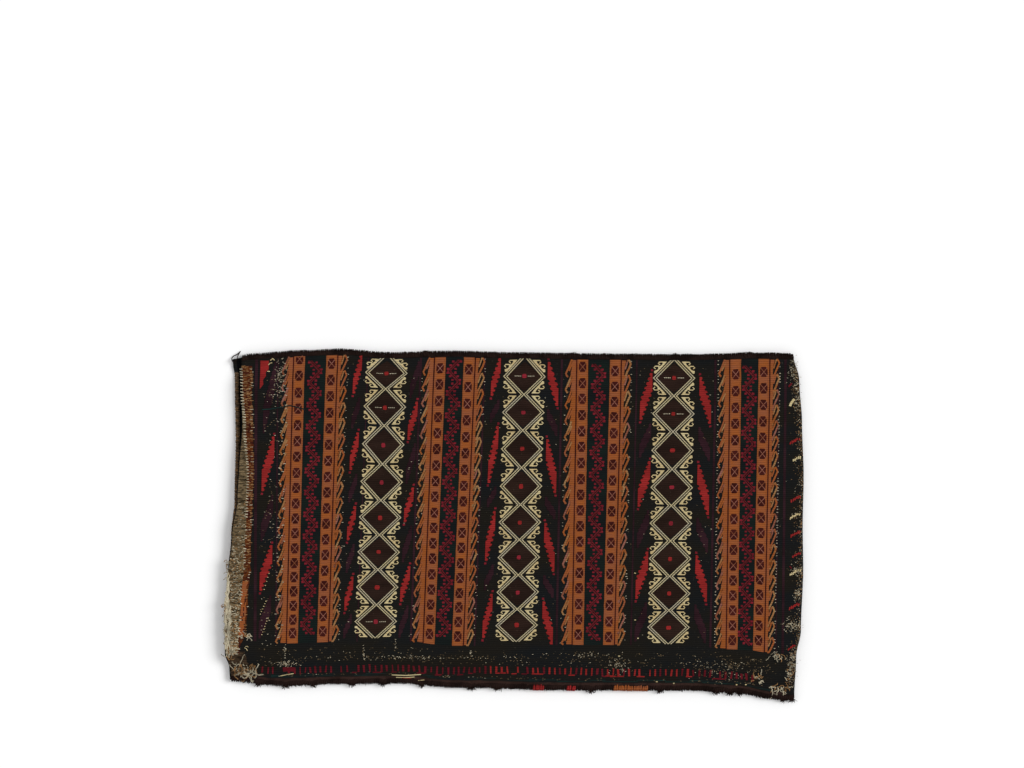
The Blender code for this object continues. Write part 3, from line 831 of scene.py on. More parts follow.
def build_cloth(sizes):
    """Loft the folded cloth as one closed shell."""
    cloth = Cloth(sizes)
    along = round(NOMINAL_LENGTH / sizes.grid)
    over = round(NOMINAL_WIDTH / sizes.grid)
    turns = FOLD_FACETS
    mesh = bmesh.new()
    unrolled = mesh.loops.layers.uv.new("OFBake")
    rings = []
    for k in range(over + 1):
        parts = fold_section(cloth, k / over, along, turns)
        rings.append([[mesh.verts.new(p) for p in part] for part in parts])
    front = len(rings[0][0])
    rolled = front + len(rings[0][1])
    total = sum(len(part) for part in rings[0])

    def corner(i, k, middle):
        """Give the place of ring point i at width k on the flat map, for the face at point middle."""
        v = k / over
        if middle < along:
            return i / along, 0.40 + 0.60 * (1.0 - v)
        if middle < rolled:
            return 0.495 * (i - along) / (rolled - along), 0.39 * (1.0 - v)
        return 0.505 + 0.495 * ((i - rolled) / (total - rolled)), 0.39 * (1.0 - v)

    for k in range(over):
        here = sum(rings[k], [])
        there = sum(rings[k + 1], [])
        v_middle = (k + 0.5) / over
        for i in range(total):
            j = (i + 1) % total
            face = mesh.faces.new((here[i], here[j], there[j], there[i]))
            middle_x = (here[i].co.x + here[j].co.x) / 2
            if along + turns - 1 <= i < front - 1:
                face.material_index = back_slot(middle_x)
            elif front - 1 <= i < rolled:
                face.material_index = 4 if v_middle > DARK_HEM else 0
            elif i >= rolled and middle_x < SHADED_INSIDE_START:
                # Inner faces near the mouth take the near-black inner finish: painted shade inside the open
                # mouth
                face.material_index = 5
            places = ((i, k), (i + 1, k), (i + 1, k + 1), (i, k + 1))
            for loop, (a, b) in zip(face.loops, places):
                loop[unrolled].uv = corner(a, b, i)
    for k, way in ((0, 1), (over, -1)):
        outer, hem, inner, edge = rings[k]
        back = inner[::-1]
        for i in range(front - 1):
            quad = (outer[i], back[i], back[i + 1], outer[i + 1])
            for loop in mesh.faces.new(quad[::way]).loops:
                loop[unrolled].uv = (i / front, 0.395)
        for ends in ([outer[-1]] + hem + [inner[0]], [inner[-1]] + edge + [outer[0]]):
            mesh.faces.new(ends[::-way])
    bmesh.ops.recalc_face_normals(mesh, faces=mesh.faces)
    # The last slot, the inner finish, is painted shade inside the mouth
    return new_piece(mesh, "folded_cloth", ("ground", "orange", "red", "plum", "rim", "gap"))


class BAG_OT_cloth(bpy.types.Operator):
    """Build the folded cloth with its back stripes and rolled hem."""

    bl_idname = "bag.cloth"
    bl_label = "Folded Cloth"

    def execute(self, context):
        piece = build_cloth(context.scene.bag_sizes)
        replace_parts(piece, "bag_cloth")
        return {"FINISHED"}


# Grounds

# Distance kept from the bands and from the lattice's middle line
BAND_GAP = 0.0012
LATTICE_INSIDE = 0.0034
# How far each ground stands proud, and the shortest gap between red leaves that a dim leaf fills
GREEN_RISE = 0.00012
BROWN_RISE = 0.00016
PLUM_RISE = 0.0002
DIM_LEAF_RISE = 0.0003
DIM_LEAF_LEAST = 0.06


def build_grounds(sizes):
    """Lay the low fields of ground colour that the pattern stands on."""
    cloth = Cloth(sizes)
    green = YarnMesh(cloth, "green_ground", "green")
    brown = YarnMesh(cloth, "diamond_grounds", "brown")
    plum = YarnMesh(cloth, "plum_lines", "plum")
    for (top_a, bottom_a, _), (top_b, bottom_b, _) in zip(BANDS[::2], BANDS[1::2]):
        width = abs(top_b - top_a) - sizes.band - BAND_GAP
        green.upright((top_a + top_b) / 2, (bottom_a + bottom_b) / 2, 0.0, width, GREEN_RISE, ragged=0.0003)
    half = DIAMOND_HALF - LATTICE_INSIDE
    for place, rows in zip(DIAMONDS, DIAMOND_ROWS):
        at = partial(on_field, *place)
        for first, second in zip(rows, rows[1:]):
            middle = (first + second) / 2
            brown.patch([at(mix(first, second, 0.09)), at(middle, half), at(mix(first, second, 0.91)),
                         at(middle, -half)], BROWN_RISE)
    for top, bottom, width in PLUM_LINES:
        plum.upright(top, bottom, 0.0, width, PLUM_RISE, ragged=0.0002)
    for top, bottom, lean, spans in LEAVES:
        ends = [0.0] + [row for span in spans for row in span] + [1.0]
        for start, end in zip(ends[::2], ends[1::2]):
            if end - start > DIM_LEAF_LEAST:
                plum.patch(leaf_outline(top, bottom, lean, start + 0.012, end - 0.012, 0.0008), DIM_LEAF_RISE)
    finish(green, brown, plum)


class BAG_OT_grounds(bpy.types.Operator):
    """Lay the ground fields under the pattern."""

    bl_idname = "bag.grounds"
    bl_label = "Ground Fields"

    def execute(self, context):
        build_grounds(context.scene.bag_sizes)
        return {"FINISHED"}


# Bands

# Outline of a dark box, in halves of its size
BOX = (
    (-0.6, -1), (0.6, -1), (0.62, -0.72), (1, -0.5), (1, 0.5), (0.62, 0.72), (0.6, 1), (-0.6, 1),
    (-0.62, 0.72), (-1, 0.5), (-1, -0.5), (-0.62, -0.72),
)
# Reach of a box's crossed threads, in halves of the box
CROSS_REACH = 0.86
CROSS_WIDE = 0.0011
# Dark line beside a band, start of its guard, step of the guard's sawn edge, and dots beyond the vine
LINE_OUT = 0.0011
LINE_WIDE = 0.0018
GUARD_OUT = 0.0021
SAW = 0.0011
DOTS_OUT = 0.0112
# Shares of tan, orange and faded strands in the vines
VINE_SHARES = (0.40, 0.45, 0.15)


def build_bands(sizes):
    """Lay the orange bands with their dark boxes, crossed threads, guards and vines."""
    cloth = Cloth(sizes)
    orange = YarnMesh(cloth, "orange_bands", "orange")
    rose = YarnMesh(cloth, "rose_guards", "rose")
    maroon = YarnMesh(cloth, "maroon_boxes", "maroon", 13, 0.0003)
    pink = YarnMesh(cloth, "box_threads", "pink", 14, 0.0002)
    dark = YarnMesh(cloth, "band_dark_lines", "maroon")
    tan = YarnMesh(cloth, "tan_vines", "tan", 16, 0.0003)
    glow = YarnMesh(cloth, "orange_vines", "orange", 17, 0.0003)
    faded = YarnMesh(cloth, "faded_vines", "pink", 19, 0.0003)
    dots = YarnMesh(cloth, "vine_dots", "bone", 18, 0.0003)
    relief = sizes.relief
    draw = random.Random(sizes.seed)
    edge = (sizes.band - sizes.box_width) / 2
    wide, tall = sizes.box_width / 2, sizes.box_height / 2
    for number, (top, bottom, side) in enumerate(BANDS):
        at = partial(on_field, top, bottom)
        orange.upright(top, bottom, 0.0, sizes.band, relief, ragged=0.0004)
        for way in (-1, 1):
            shift = way * (sizes.band - edge) / 2
            rose.upright(top, bottom, shift, edge * 0.62, relief + 0.00012, ragged=0.0002)
        dark.upright(top, bottom, side * (sizes.band / 2 + LINE_OUT), LINE_WIDE, relief * 0.5)
        height = field_height(top, bottom)
        count, first, last, sag = BOX_ROWS[number]
        for box in range(count):
            share = box / (count - 1)
            row = mix(first, last, share) + 4 * sag * share * (1 - share) + draw.uniform(-0.0012, 0.0012)
            maroon.patch([at(max(row + b * tall / height, 0.003), a * wide) for a, b in BOX],
                         relief + 0.00022)
            for lean in (-1, 1):
                out, down = wide * CROSS_REACH * lean, tall * CROSS_REACH * 0.86
                pink.stroke([at(row, -out, -down), at(row, out, down)],
                            CROSS_WIDE, relief + 0.00042)

        start = side * (sizes.band / 2 + GUARD_OUT)
        inner = start + side * GUARD_WIDTHS[number % 2]
        units = round(height / VINE_PITCH)
        near = []
        far = []
        for unit in range(units):
            for share, out in GUARD_SAW[::side]:
                row = (unit + (share if side > 0 else 1.0 - share)) / units
                near.append(at(row, start))
                far.append(at(row, inner + side * SAW * out))
        rose.ladder(near, far, relief)
        vine, barb = (LEFT_VINE, LEFT_BARB) if side < 0 else (RIGHT_VINE, RIGHT_BARB)
        for unit in range(units):
            row = (unit + 0.5) / units
            for shape, width, lift in ((vine, draw.uniform(0.0025, 0.0031), 0.0), (barb, 0.0022, 0.00005)):
                points = [at(min(max(row + down / units, 0.0), 0.998), inner + side * out * VINE_REACH)
                          for out, down in shape]
                strand = draw.choices((tan, glow, faded), VINE_SHARES)[0]
                strand.stroke(points, width, relief + lift, 0.005)
            for _ in range(3 if number == 0 else 0):
                x, y = at(row, inner + side * draw.uniform(0.0, 0.0110), draw.uniform(-0.5, 0.5) * VINE_PITCH)
                long = draw.uniform(0.0018, 0.0040)
                dots.dash(x, y, long, 0.0009, relief + 0.0002, draw.uniform(-0.2, 0.2))
            for dot in range(5):
                drop = (dot - 2) * VINE_PITCH / 5 + draw.uniform(-0.0006, 0.0006)
                x, y = at(row, inner + side * DOTS_OUT, drop)
                if draw.random() < (0.75 if number > 5 else 0.25):
                    dots.dash(x, y, draw.uniform(0.0012, 0.0028), 0.0008, relief)
    finish(orange, rose, maroon, pink, dark, tan, glow, faded, dots)


class BAG_OT_bands(bpy.types.Operator):
    """Lay the orange bands, their boxes and their vines."""

    bl_idname = "bag.bands"
    bl_label = "Orange Bands"

    def execute(self, context):
        build_bands(context.scene.bag_sizes)
        return {"FINISHED"}


# Zigzags

ZIGZAG_REACH = 0.0084
ZIGZAG_SHIFT = 0.0004
# Crimson line, its dark core and its thread, as (width, shift, height)
ZIGZAG_LINES = ((0.0060, 0.0, 0.0), (0.0030, 0.0, 0.00012), (0.0005, -0.0006, 0.00016))
# Nubs: reach of their line and distance beside it
NUB_REACH = 0.0060
NUB_OUT = 0.0060


def build_zigzags(sizes):
    """Lay the crimson zigzags with their nubs between each pair of bands."""
    cloth = Cloth(sizes)
    wine = YarnMesh(cloth, "crimson_zigzags", "wine")
    crimson = YarnMesh(cloth, "zigzag_nubs", "crimson", 21, 0.0003)
    pink = YarnMesh(cloth, "zigzag_threads", "thread")
    maroon = YarnMesh(cloth, "zigzag_grounds", "soot")
    draw = random.Random(sizes.seed + 1)
    relief = sizes.relief
    for one, other, (first, last, begun) in zip(BANDS[::2], BANDS[1::2], ZIGZAGS):
        at = partial(on_field, (one[0] + other[0]) / 2 - ZIGZAG_SHIFT, (one[1] + other[1]) / 2 - ZIGZAG_SHIFT)

        def bend(turn, reach, shift):
            """Give a point of the line, counted in half turns from its first bend."""
            share = turn % 2
            out = begun * (1 - 2 * min(share, 2 - share))
            return at(mix(first, last, turn / HALF_TURNS), out * reach + shift)

        for strand, (width, shift, high) in zip((wine, maroon, pink), ZIGZAG_LINES):
            path = [bend(turn, ZIGZAG_REACH, shift) for turn in range(HALF_TURNS + 1)]
            strand.slanted(path, width, relief + high)
        for nub in range(3 * HALF_TURNS):
            for side in (-1, 1):
                x, y = bend((nub + 0.5) / 3, NUB_REACH, side * NUB_OUT)
                crimson.block(x, y, draw.uniform(0.0034, 0.0044), draw.uniform(0.0026, 0.0034), relief)
    finish(wine, crimson, pink, maroon)


class BAG_OT_zigzags(bpy.types.Operator):
    """Lay the crimson zigzags."""

    bl_idname = "bag.zigzags"
    bl_label = "Zigzags"

    def execute(self, context):
        build_zigzags(context.scene.bag_sizes)
        return {"FINISHED"}


# Diamonds

# Hooked triangle beside each crossing: its body and its two curls, as shares of half a diamond
HOOK_BODY = (
    (0.36, 0.065), (0.57, 0.065), (0.575, 0.24), (0.65, 0.325), (0.78, 0.36), (0.775, 0.48), (0.87, 0.585),
    (0.985, 0.61), (0.975, 0.735), (0.90, 0.755), (0.66, 0.455), (0.50, 0.265),
)
HOOK_CURLS = (
    ((0.54, 0.095), (0.715, 0.095), (0.775, 0.175), (0.695, 0.262)),
    ((0.74, 0.335), (0.925, 0.335), (0.99, 0.410), (0.915, 0.495)),
)
CURL_WIDE = 0.0016
# Lattice lines: how open the outer one stays at a crossing, and its distance from the inner one
LATTICE_OPEN = 0.0042
LATTICE_GAP = 0.0046
# Dashes beside a square: the first one's place, and their pitch
DASH_START = 0.0064
DASH_PITCH = 0.0028
# Outline of the square in a diamond, in halves of its size
SQUARE = ((-1, -0.6), (-0.6, -1), (0.7, -1), (1, -0.5), (1, 0.6), (0.5, 1), (-0.7, 1), (-1, 0.5))


def build_diamonds(sizes):
    """Lay the lattice of double lines, the hooked triangles and the small squares."""
    cloth = Cloth(sizes)
    lines = YarnMesh(cloth, "lattice_lines", "line")
    hooks = YarnMesh(cloth, "hooked_triangles", "cream", 32, 0.0002)
    red = YarnMesh(cloth, "diamond_squares", "red", 33, 0.0003)
    cherry = YarnMesh(cloth, "crimson_squares", "cherry", 35, 0.0003)
    dashes = YarnMesh(cloth, "diamond_dashes", "bone", 34, 0.0002)
    draw = random.Random(sizes.seed + 2)
    relief = sizes.relief
    for number, (place, rows) in enumerate(zip(DIAMONDS, DIAMOND_ROWS)):
        at = partial(on_field, *place)
        height = field_height(*place)
        for side in (-1, 1):
            for reach, pinched in ((DIAMOND_HALF, LATTICE_OPEN), (DIAMOND_HALF - LATTICE_GAP, 0.0)):
                begun = mix(pinched, reach, LATTICE_START[number])
                path = [at(rows[0], side * begun)]
                for first, second in zip(rows, rows[1:]):
                    path.append(at((first + second) / 2, side * reach))
                    path.append(at(second, side * pinched))
                lines.slanted(path, sizes.lattice, relief + (0.0001 if side > 0 else 0.0), 0.0048)
        last = len(rows) - 1
        for index, row in enumerate(rows):
            for way in (-1, 1):
                if not 0 <= index + way <= last:
                    continue
                half = abs(rows[index + way] - row) * height / 2
                for side in (-1, 1):
                    def spot(shares):
                        return at(row, side * shares[0] * DIAMOND_HALF, way * shares[1] * half)
                    hooks.patch([spot(shares) for shares in HOOK_BODY], relief)
                    for curl in HOOK_CURLS:
                        hooks.stroke([spot(shares) for shares in curl], CURL_WIDE, relief + 0.00005, 0.004)
        for index, (first, second) in enumerate(zip(rows, rows[1:])):
            middle = (first + second) / 2 + draw.uniform(-0.002, 0.002)
            wide, tall = draw.uniform(0.0030, 0.0040), draw.uniform(0.0028, 0.0038)
            strand = cherry if (index + 2 * number) % 5 in (2, 3) else red
            strand.patch([at(middle, a * wide, b * tall) for a, b in SQUARE], relief)
            if index == 0 or (number == 0 and index in (1, last - 1)) or (number == 2 and index == 1):
                for side in (-1, 1):
                    for step in range(4):
                        x, y = at(middle, side * (DASH_START + DASH_PITCH * step))
                        dashes.dash(x, y, 0.0020, 0.0011, relief)
    finish(lines, hooks, red, cherry, dashes)


class BAG_OT_diamonds(bpy.types.Operator):
    """Lay the diamond lattices and their hooked triangles."""

    bl_idname = "bag.diamonds"
    bl_label = "Diamonds"

    def execute(self, context):
        build_diamonds(context.scene.bag_sizes)
        return {"FINISHED"}


# Leaves

# Width of a leaf's blunt tip, and the pitch of its teeth
LEAF_TIP = 0.0026
TOOTH_PITCH = 0.0064


def leaf_outline(top, bottom, lean, start, end, deep=0.0016):
    """Outline a leaning leaf between two rows: two upright sides joined by two slanting, toothed ones."""
    height = field_height(top, bottom) * (end - start)
    side = abs(lean) / 2
    way = -1 if lean < 0 else 1
    tip = LEAF_TIP
    teeth = max(3, round(height / 2 / TOOTH_PITCH))

    def spot(across, share):
        return on_field(top, bottom, mix(start, end, share), -way * across)

    def slant(first, last, begin, finish, out):
        points = []
        for tooth in range(teeth):
            for part, reach in ((0.04, -deep), (0.46, -deep), (0.54, deep), (0.96, deep)):
                share = (tooth + part) / teeth
                points.append(spot(mix(first, last, share) + out * reach, mix(begin, finish, share)))
        return points

    return ([spot(side - tip, 0.0), spot(side, 0.0), spot(side, 0.40)]
            + slant(side - 0.0010, tip - side - 0.0004, 0.41, 1.0, 1)
            + [spot(tip - side, 1.0), spot(-side, 1.0), spot(-side, 0.60)]
            + slant(0.0010 - side, side - tip + 0.0004, 0.59, 0.0, -1))


# Square at a leaf's tip, its distance as a share of the field's height, and the strips of a cut leaf
TIP = ((-0.0018, -0.0016), (0.0018, -0.0016), (0.0018, 0.0018), (-0.0018, 0.0018))
TIP_GAP = 0.009
LEAF_STRIP = 0.0030
# Worn piece of a leaf at the top of the first column: its row and distance beside the column, and its outline
FRAGMENT_SPOT = (0.05, -0.0084)
LEAF_FRAGMENT = (
    (-0.0076, 0.0200), (0.0060, 0.0200), (0.0058, 0.0060), (0.0010, 0.0015),
    (0.0020, -0.0050), (-0.0030, -0.0100), (-0.0022, -0.0180), (-0.0076, -0.0250),
)


def build_leaves(sizes):
    """Lay the red leaves and the crimson squares at their tips."""
    cloth = Cloth(sizes)
    red = YarnMesh(cloth, "red_leaves", "red", 41, 0.0002)
    tips = YarnMesh(cloth, "leaf_tips", "crimson", 42, 0.0003)
    relief = sizes.relief
    for top, bottom, lean, spans in LEAVES:
        for start, end in spans:
            red.patch(leaf_outline(top, bottom, lean, start, end), relief, LEAF_STRIP)
            for row, across, gap in ((start, -lean / 2, -TIP_GAP), (end, lean / 2, TIP_GAP)):
                if not 0.0 < row + gap < 1.0:
                    continue
                x, y = on_field(top, bottom, row + gap, across * 0.92)
                tips.patch([(x + a, y + b) for a, b in TIP], relief)
    x, y = on_field(*LEAVES[0][:2], *FRAGMENT_SPOT)
    red.patch([(x + a, y + b) for a, b in LEAF_FRAGMENT], relief, LEAF_STRIP)
    finish(red, tips)


class BAG_OT_leaves(bpy.types.Operator):
    """Lay the red leaves."""

    bl_idname = "bag.leaves"
    bl_label = "Leaves"

    def execute(self, context):
        build_leaves(context.scene.bag_sizes)
        return {"FINISHED"}


# Border, fold strip and bare warps

# Ends of the row of bars, its pitch, and the reach of the bars that are mostly red
BARS = (-0.404, 0.395)
BAR_PITCH = 0.0086
RED_BARS = (-0.040, 0.280)
# Felted band along the lower edge, and the lines of teal weft, as distances over the edge
FELT_LOW = 0.0062
FELT_HIGH = 0.0118
FELT_REACH = (-0.412, 0.430)
TEAL_LINES = (0.0138, 0.0162)
TEAL_REACH = (-0.390, 0.400)
# Height of the red bars over the lower edge, by share of the length
BAR_LINE = ((0.0, 0.0238), (0.30, 0.0245), (0.50, 0.0310), (0.75, 0.0290), (1.0, 0.0270))
# Single marks, as three places, a width and a colour
BORDER_MARKS = (
    ((-0.1970, -0.2400), (-0.1740, -0.2412), (-0.1500, -0.2395), 0.0012, "cream"),
    ((-0.1900, -0.2440), (-0.1750, -0.2446), (-0.1600, -0.2436), 0.0011, "cream"),
    ((-0.1800, -0.2492), (-0.1620, -0.2500), (-0.1440, -0.2480), 0.0011, "cream"),
    ((-0.1800, -0.2466), (-0.1740, -0.2468), (-0.1660, -0.2464), 0.0036, "red"),
    ((-0.3710, -0.2315), (-0.3610, -0.2310), (-0.3510, -0.2320), 0.0070, "crimson"),
    ((-0.3750, -0.2420), (-0.3640, -0.2395), (-0.3540, -0.2385), 0.0010, "cream"),
    ((-0.4320, -0.1965), (-0.4290, -0.1975), (-0.4270, -0.2010), 0.0010, "cream"),
    ((-0.4300, -0.1940), (-0.4270, -0.1935), (-0.4255, -0.1950), 0.0009, "cream"),
    ((-0.3912, 0.2632), (-0.3872, 0.2664), (-0.3840, 0.2640), 0.0015, "cream"),
    ((-0.3960, 0.2460), (-0.3935, 0.2462), (-0.3912, 0.2458), 0.0012, "cream"),
    ((-0.3940, 0.2560), (-0.3915, 0.2590), (-0.3880, 0.2596), 0.0012, "cream"),
    ((0.4405, 0.1900), (0.4430, 0.1950), (0.4475, 0.2015), 0.0038, "cream"),
    ((0.4385, 0.2215), (0.4405, 0.2240), (0.4440, 0.2262), 0.0026, "crimson"),
    ((0.4400, -0.0660), (0.4425, -0.0680), (0.4420, -0.0700), 0.0016, "crimson"),
)
BORDER_DOTS = (
    (0.1928, -0.0770), (0.1928, -0.1520), (0.1976, -0.1810), (0.1672, -0.2095), (0.2280, -0.2510),
    (0.2552, -0.2540), (0.3560, -0.2560), (0.3704, -0.2560),
)
# Slanting rows of cream dots, as (first place, last place, count)
DOT_ROWS = (
    ((-0.3922, -0.0773), (-0.4003, -0.1029), 5),
    ((-0.3976, -0.1216), (-0.4064, -0.1424), 6),
    ((-0.3944, -0.1488), (-0.4040, -0.1752), 7),
)
# Chevrons of the fold strip: place inside the edge, longest reach, and each one's share of the width and colour
CHEVRON_INSIDE = 0.0060
CHEVRON_REACH = 0.0170
CHEVRONS = (
    (0.250, "red"), (0.303, "cream"), (0.417, "red"), (0.466, "cream"), (0.519, "red"), (0.580, "red"),
    (0.629, "cream"), (0.728, "red"), (0.848, "red"),
)


def build_border(sizes):
    """Lay the short red bars of the lower border and the chevrons of the fold strip."""
    cloth = Cloth(sizes)
    crimson = YarnMesh(cloth, "border_bars", "madder", 51, 0.0004)
    felt = YarnMesh(cloth, "felted_edge", "felt")
    teal = YarnMesh(cloth, "teal_lines", "teal")
    cream = YarnMesh(cloth, "fold_cream_chevrons", "cream", 52, 0.0003)
    red = YarnMesh(cloth, "fold_red_chevrons", "red", 53, 0.0003)
    strands = {"cream": cream, "red": red, "crimson": crimson}
    draw = random.Random(sizes.seed + 3)
    relief = sizes.relief
    x = BARS[0]
    while x < BARS[1]:
        y = lower_y(x) + read_line(BAR_LINE, length_share(x)) + draw.uniform(-0.0006, 0.0006)
        tall = draw.uniform(0.0088, 0.0125)
        wide = draw.uniform(0.0022, 0.0036)
        strand = red if RED_BARS[0] < x < RED_BARS[1] and draw.random() < 0.75 else crimson
        if draw.random() < 0.90:
            strand.block(x, y, wide, tall, relief, draw.uniform(-0.4, 0.4) * wide)
        if draw.random() < 0.28:
            strand.dash(x + 0.0020, y - tall * 0.62, draw.uniform(0.0060, 0.0150), 0.0018, relief)
        x += BAR_PITCH + draw.uniform(-0.0008, 0.0008)
    xs = [mix(*FELT_REACH, i / 150) for i in range(151)]
    felt.ladder([(a, lower_y(a) + FELT_LOW) for a in xs],
                [(a, lower_y(a) + FELT_HIGH + 0.0014 * drift(a * 60, 3, 0)) for a in xs], relief)
    for drop in TEAL_LINES:
        x = TEAL_REACH[0]
        while x < TEAL_REACH[1]:
            long = draw.uniform(0.020, 0.060)
            teal.stroke([(x, lower_y(x) + drop), (x + long, lower_y(x + long) + drop)], 0.0011, relief * 0.7)
            x += long + draw.uniform(0.010, 0.060)
    for a, b, c, width, kind in BORDER_MARKS:
        strands[kind].stroke([a, b, c], width, relief + 0.0003)
    for x, y in BORDER_DOTS:
        cream.dash(x, y, 0.0026, 0.0016, relief)
    for first, last, count in DOT_ROWS:
        for dot in range(count):
            cream.dash(*between(first, last, dot / (count - 1)), 0.0018, 0.0011, relief)
    for v, kind in CHEVRONS:
        edge = NOMINAL_LENGTH / 2 - read_line(NOSE_INSET, v)
        y = bag_y(edge, v) + 0.0020
        long = draw.uniform(0.55, 1.0)
        start = edge - CHEVRON_INSIDE - CHEVRON_REACH * long
        ticks = round(6 * long) + 1
        for tick in range(ticks):
            share = tick / ticks
            rise = mix(-0.0070 * long, 0.0040, share) - 0.0050 * max(share - 0.7, 0.0) / 0.3
            strands[kind].dash(mix(start, edge - 0.0030, share), y + rise + draw.uniform(-0.0005, 0.0005),
                               draw.uniform(0.0034, 0.0052), draw.uniform(0.0016, 0.0024), relief,
                               draw.uniform(1.1, 1.5))
    finish(crimson, felt, teal, cream, red)


class BAG_OT_border(bpy.types.Operator):
    """Lay the lower border and the fold strip."""

    bl_idname = "bag.border"
    bl_label = "Border"

    def execute(self, context):
        build_border(context.scene.bag_sizes)
        return {"FINISHED"}


# Worn places

# Worn spots, as (middle along, middle across, length, width, count, share of bright warps)
WORN_SPOTS = (
    (0.1650, -0.2230, 0.030, 0.028, 80, 0.5), (0.3370, -0.2300, 0.090, 0.034, 200, 0.25),
    (0.4470, 0.2450, 0.014, 0.040, 110, 0.5), (0.4520, 0.2050, 0.014, 0.050, 90, 0.5),
    (0.4500, -0.0720, 0.016, 0.012, 50, 0.6), (0.4520, -0.1100, 0.012, 0.018, 50, 0.5),
    (0.4450, -0.1600, 0.024, 0.018, 110, 0.6), (0.4430, -0.2250, 0.016, 0.040, 130, 0.5),
    (-0.4380, -0.2340, 0.024, 0.020, 120, 0.3),
    (-0.3660, -0.2220, 0.045, 0.007, 70, 0.6), (-0.3670, -0.2020, 0.003, 0.028, 20, 0.8),
    (-0.2410, -0.2060, 0.003, 0.018, 12, 0.7), (-0.1910, -0.1890, 0.003, 0.018, 12, 0.7),
    (-0.0696, -0.2080, 0.003, 0.020, 12, 0.7), (-0.3780, 0.2200, 0.020, 0.060, 70, 0.4),
    (-0.3740, 0.2430, 0.012, 0.030, 60, 0.6),
    (0.1200, -0.2080, 0.050, 0.010, 50, 0.4), (-0.1400, -0.2120, 0.200, 0.006, 110, 0.35),
)

# Flecks in the lower border, as (share of the width, count)
FLECK_ROWS = ((0.893, 90), (0.905, 60), (0.916, 110), (0.926, 90), (0.968, 120))
# Mended line near the upper side
DARN = (
    (-0.4040, 0.1848), (-0.3912, 0.1856), (-0.3752, 0.1880), (-0.3592, 0.1912), (-0.3496, 0.1888),
    (-0.3352, 0.1850),
)
FLECK_WIDE = (0.0005, 0.0008)
# Rows of the columns' height over which flecks are scattered, and the line of the fold strip's flecks
FLECK_REACH = (0.04, 0.86)
FOLD_FLECKS = 0.4625


def build_wear(sizes):
    """Scatter the short bare warps that show where the wefts are worn."""
    cloth = Cloth(sizes)
    flecks = YarnMesh(cloth, "bare_warp_flecks", "bone", 61, 0.0001)
    dim = YarnMesh(cloth, "dim_warp_flecks", "dust", 62, 0.0001)
    straw = YarnMesh(cloth, "tan_warp_flecks", "straw", 64, 0.0001)
    darn = YarnMesh(cloth, "darning_thread", "teal")
    draw = random.Random(sizes.seed + 4)

    def scatter(count, x_of, v_range, size, bright=0.35, tan=0.0):
        for _ in range(count):
            v = draw.uniform(*v_range)
            x = x_of(v)
            strand = draw.choices((flecks, straw, dim), (bright, tan, 1.0 - bright - tan))[0]
            strand.dash(x, bag_y(x, v), draw.uniform(0.6, 1.4) * size, draw.uniform(*FLECK_WIDE), 0.0004,
                        draw.uniform(-0.2, 0.2))

    def beside(column, way, out, spread):
        """Scatter round a line beside a column."""
        return lambda v: mix(column[0], column[1], v) + way * draw.gauss(out, spread)

    scatter(150, beside(LEAVES[0], 1, 0.004, 0.007), (0.05, 0.88), 0.0018)
    for number, band in enumerate(BANDS):
        scatter(26 if number else 60, beside(band, band[2], 0.0240, 0.0030), FLECK_REACH, 0.0018)
    for column in LEAVES[1:]:
        scatter(26, beside(column, 1, 0.0, 0.009), FLECK_REACH, 0.0016)
    for row, count in FLECK_ROWS:
        scatter(count, lambda v: draw.uniform(-0.412, 0.425), (row - 0.004, row + 0.004), 0.0016, 0.12)
    scatter(760, lambda v: FOLD_FLECKS - read_line(NOSE_INSET, v) - abs(draw.gauss(0.0, 0.0062)),
            (0.03, 0.97), 0.0013, 0.20, 0.45)
    for x, y, wide, tall, count, bright in WORN_SPOTS:
        for _ in range(count):
            strand = flecks if draw.random() < bright else dim
            strand.dash(x + draw.gauss(0.0, 0.3) * wide, y + draw.gauss(0.0, 0.3) * tall,
                        draw.uniform(0.0010, 0.0024), draw.uniform(*FLECK_WIDE), 0.0005,
                        draw.uniform(-0.8, 0.8))
    darn.stroke(DARN, 0.0017, 0.0010)
    finish(flecks, dim, straw, darn)


class BAG_OT_wear(bpy.types.Operator):
    """Scatter bare warps over the worn places."""

    bl_idname = "bag.wear"
    bl_label = "Worn Places"

    def execute(self, context):
        build_wear(context.scene.bag_sizes)
        return {"FINISHED"}


# Mouth

# Loose dashes over the worn strip and over the bare weave, and the distance between two hem stitches
STRIP_DASHES = 210
WEAVE_DASHES = 620
HEM_STITCH = 0.0046


def mouth_strip(strip, first, last, steps, edges, high):
    """Lay a strip down the mouth, between the two points that edges gives at each share of the width."""
    pairs = [edges(mix(first, last, i / steps)) for i in range(steps + 1)]
    strip.ladder([near for near, _ in pairs], [far for _, far in pairs], high)


def worn_weave(v):
    line = read_line(WORN_LINE, v) + 0.0010 * drift(v * 40, 1, 0)
    y = bag_y(line, v)
    return (min(mouth_x(v) + 0.0004, line - 0.0006), y), (line, y)


def rusty_strip(v):
    x, y = worn_weave(v)[1]
    return (x, y), (x + read_line(WORN_STRIP, v) + 0.0020 * drift(v * 60, 5, 0), y)


def bare_corner(v):
    x = mouth_x(v) + 0.0016
    far = x + 0.0300 + 0.0060 * drift(v * 60, 4, 0)
    return (x, bag_y(x, v)), (far, bag_y(far, v))


def torn_end(v):
    line = read_line(WORN_LINE, v) + 0.0004
    y = bag_y(line, v)
    return (line + 0.0010 * drift(v * 90, 2, 0), y), (line + 0.0082 + 0.0030 * drift(v * 70, 8, 0), y)


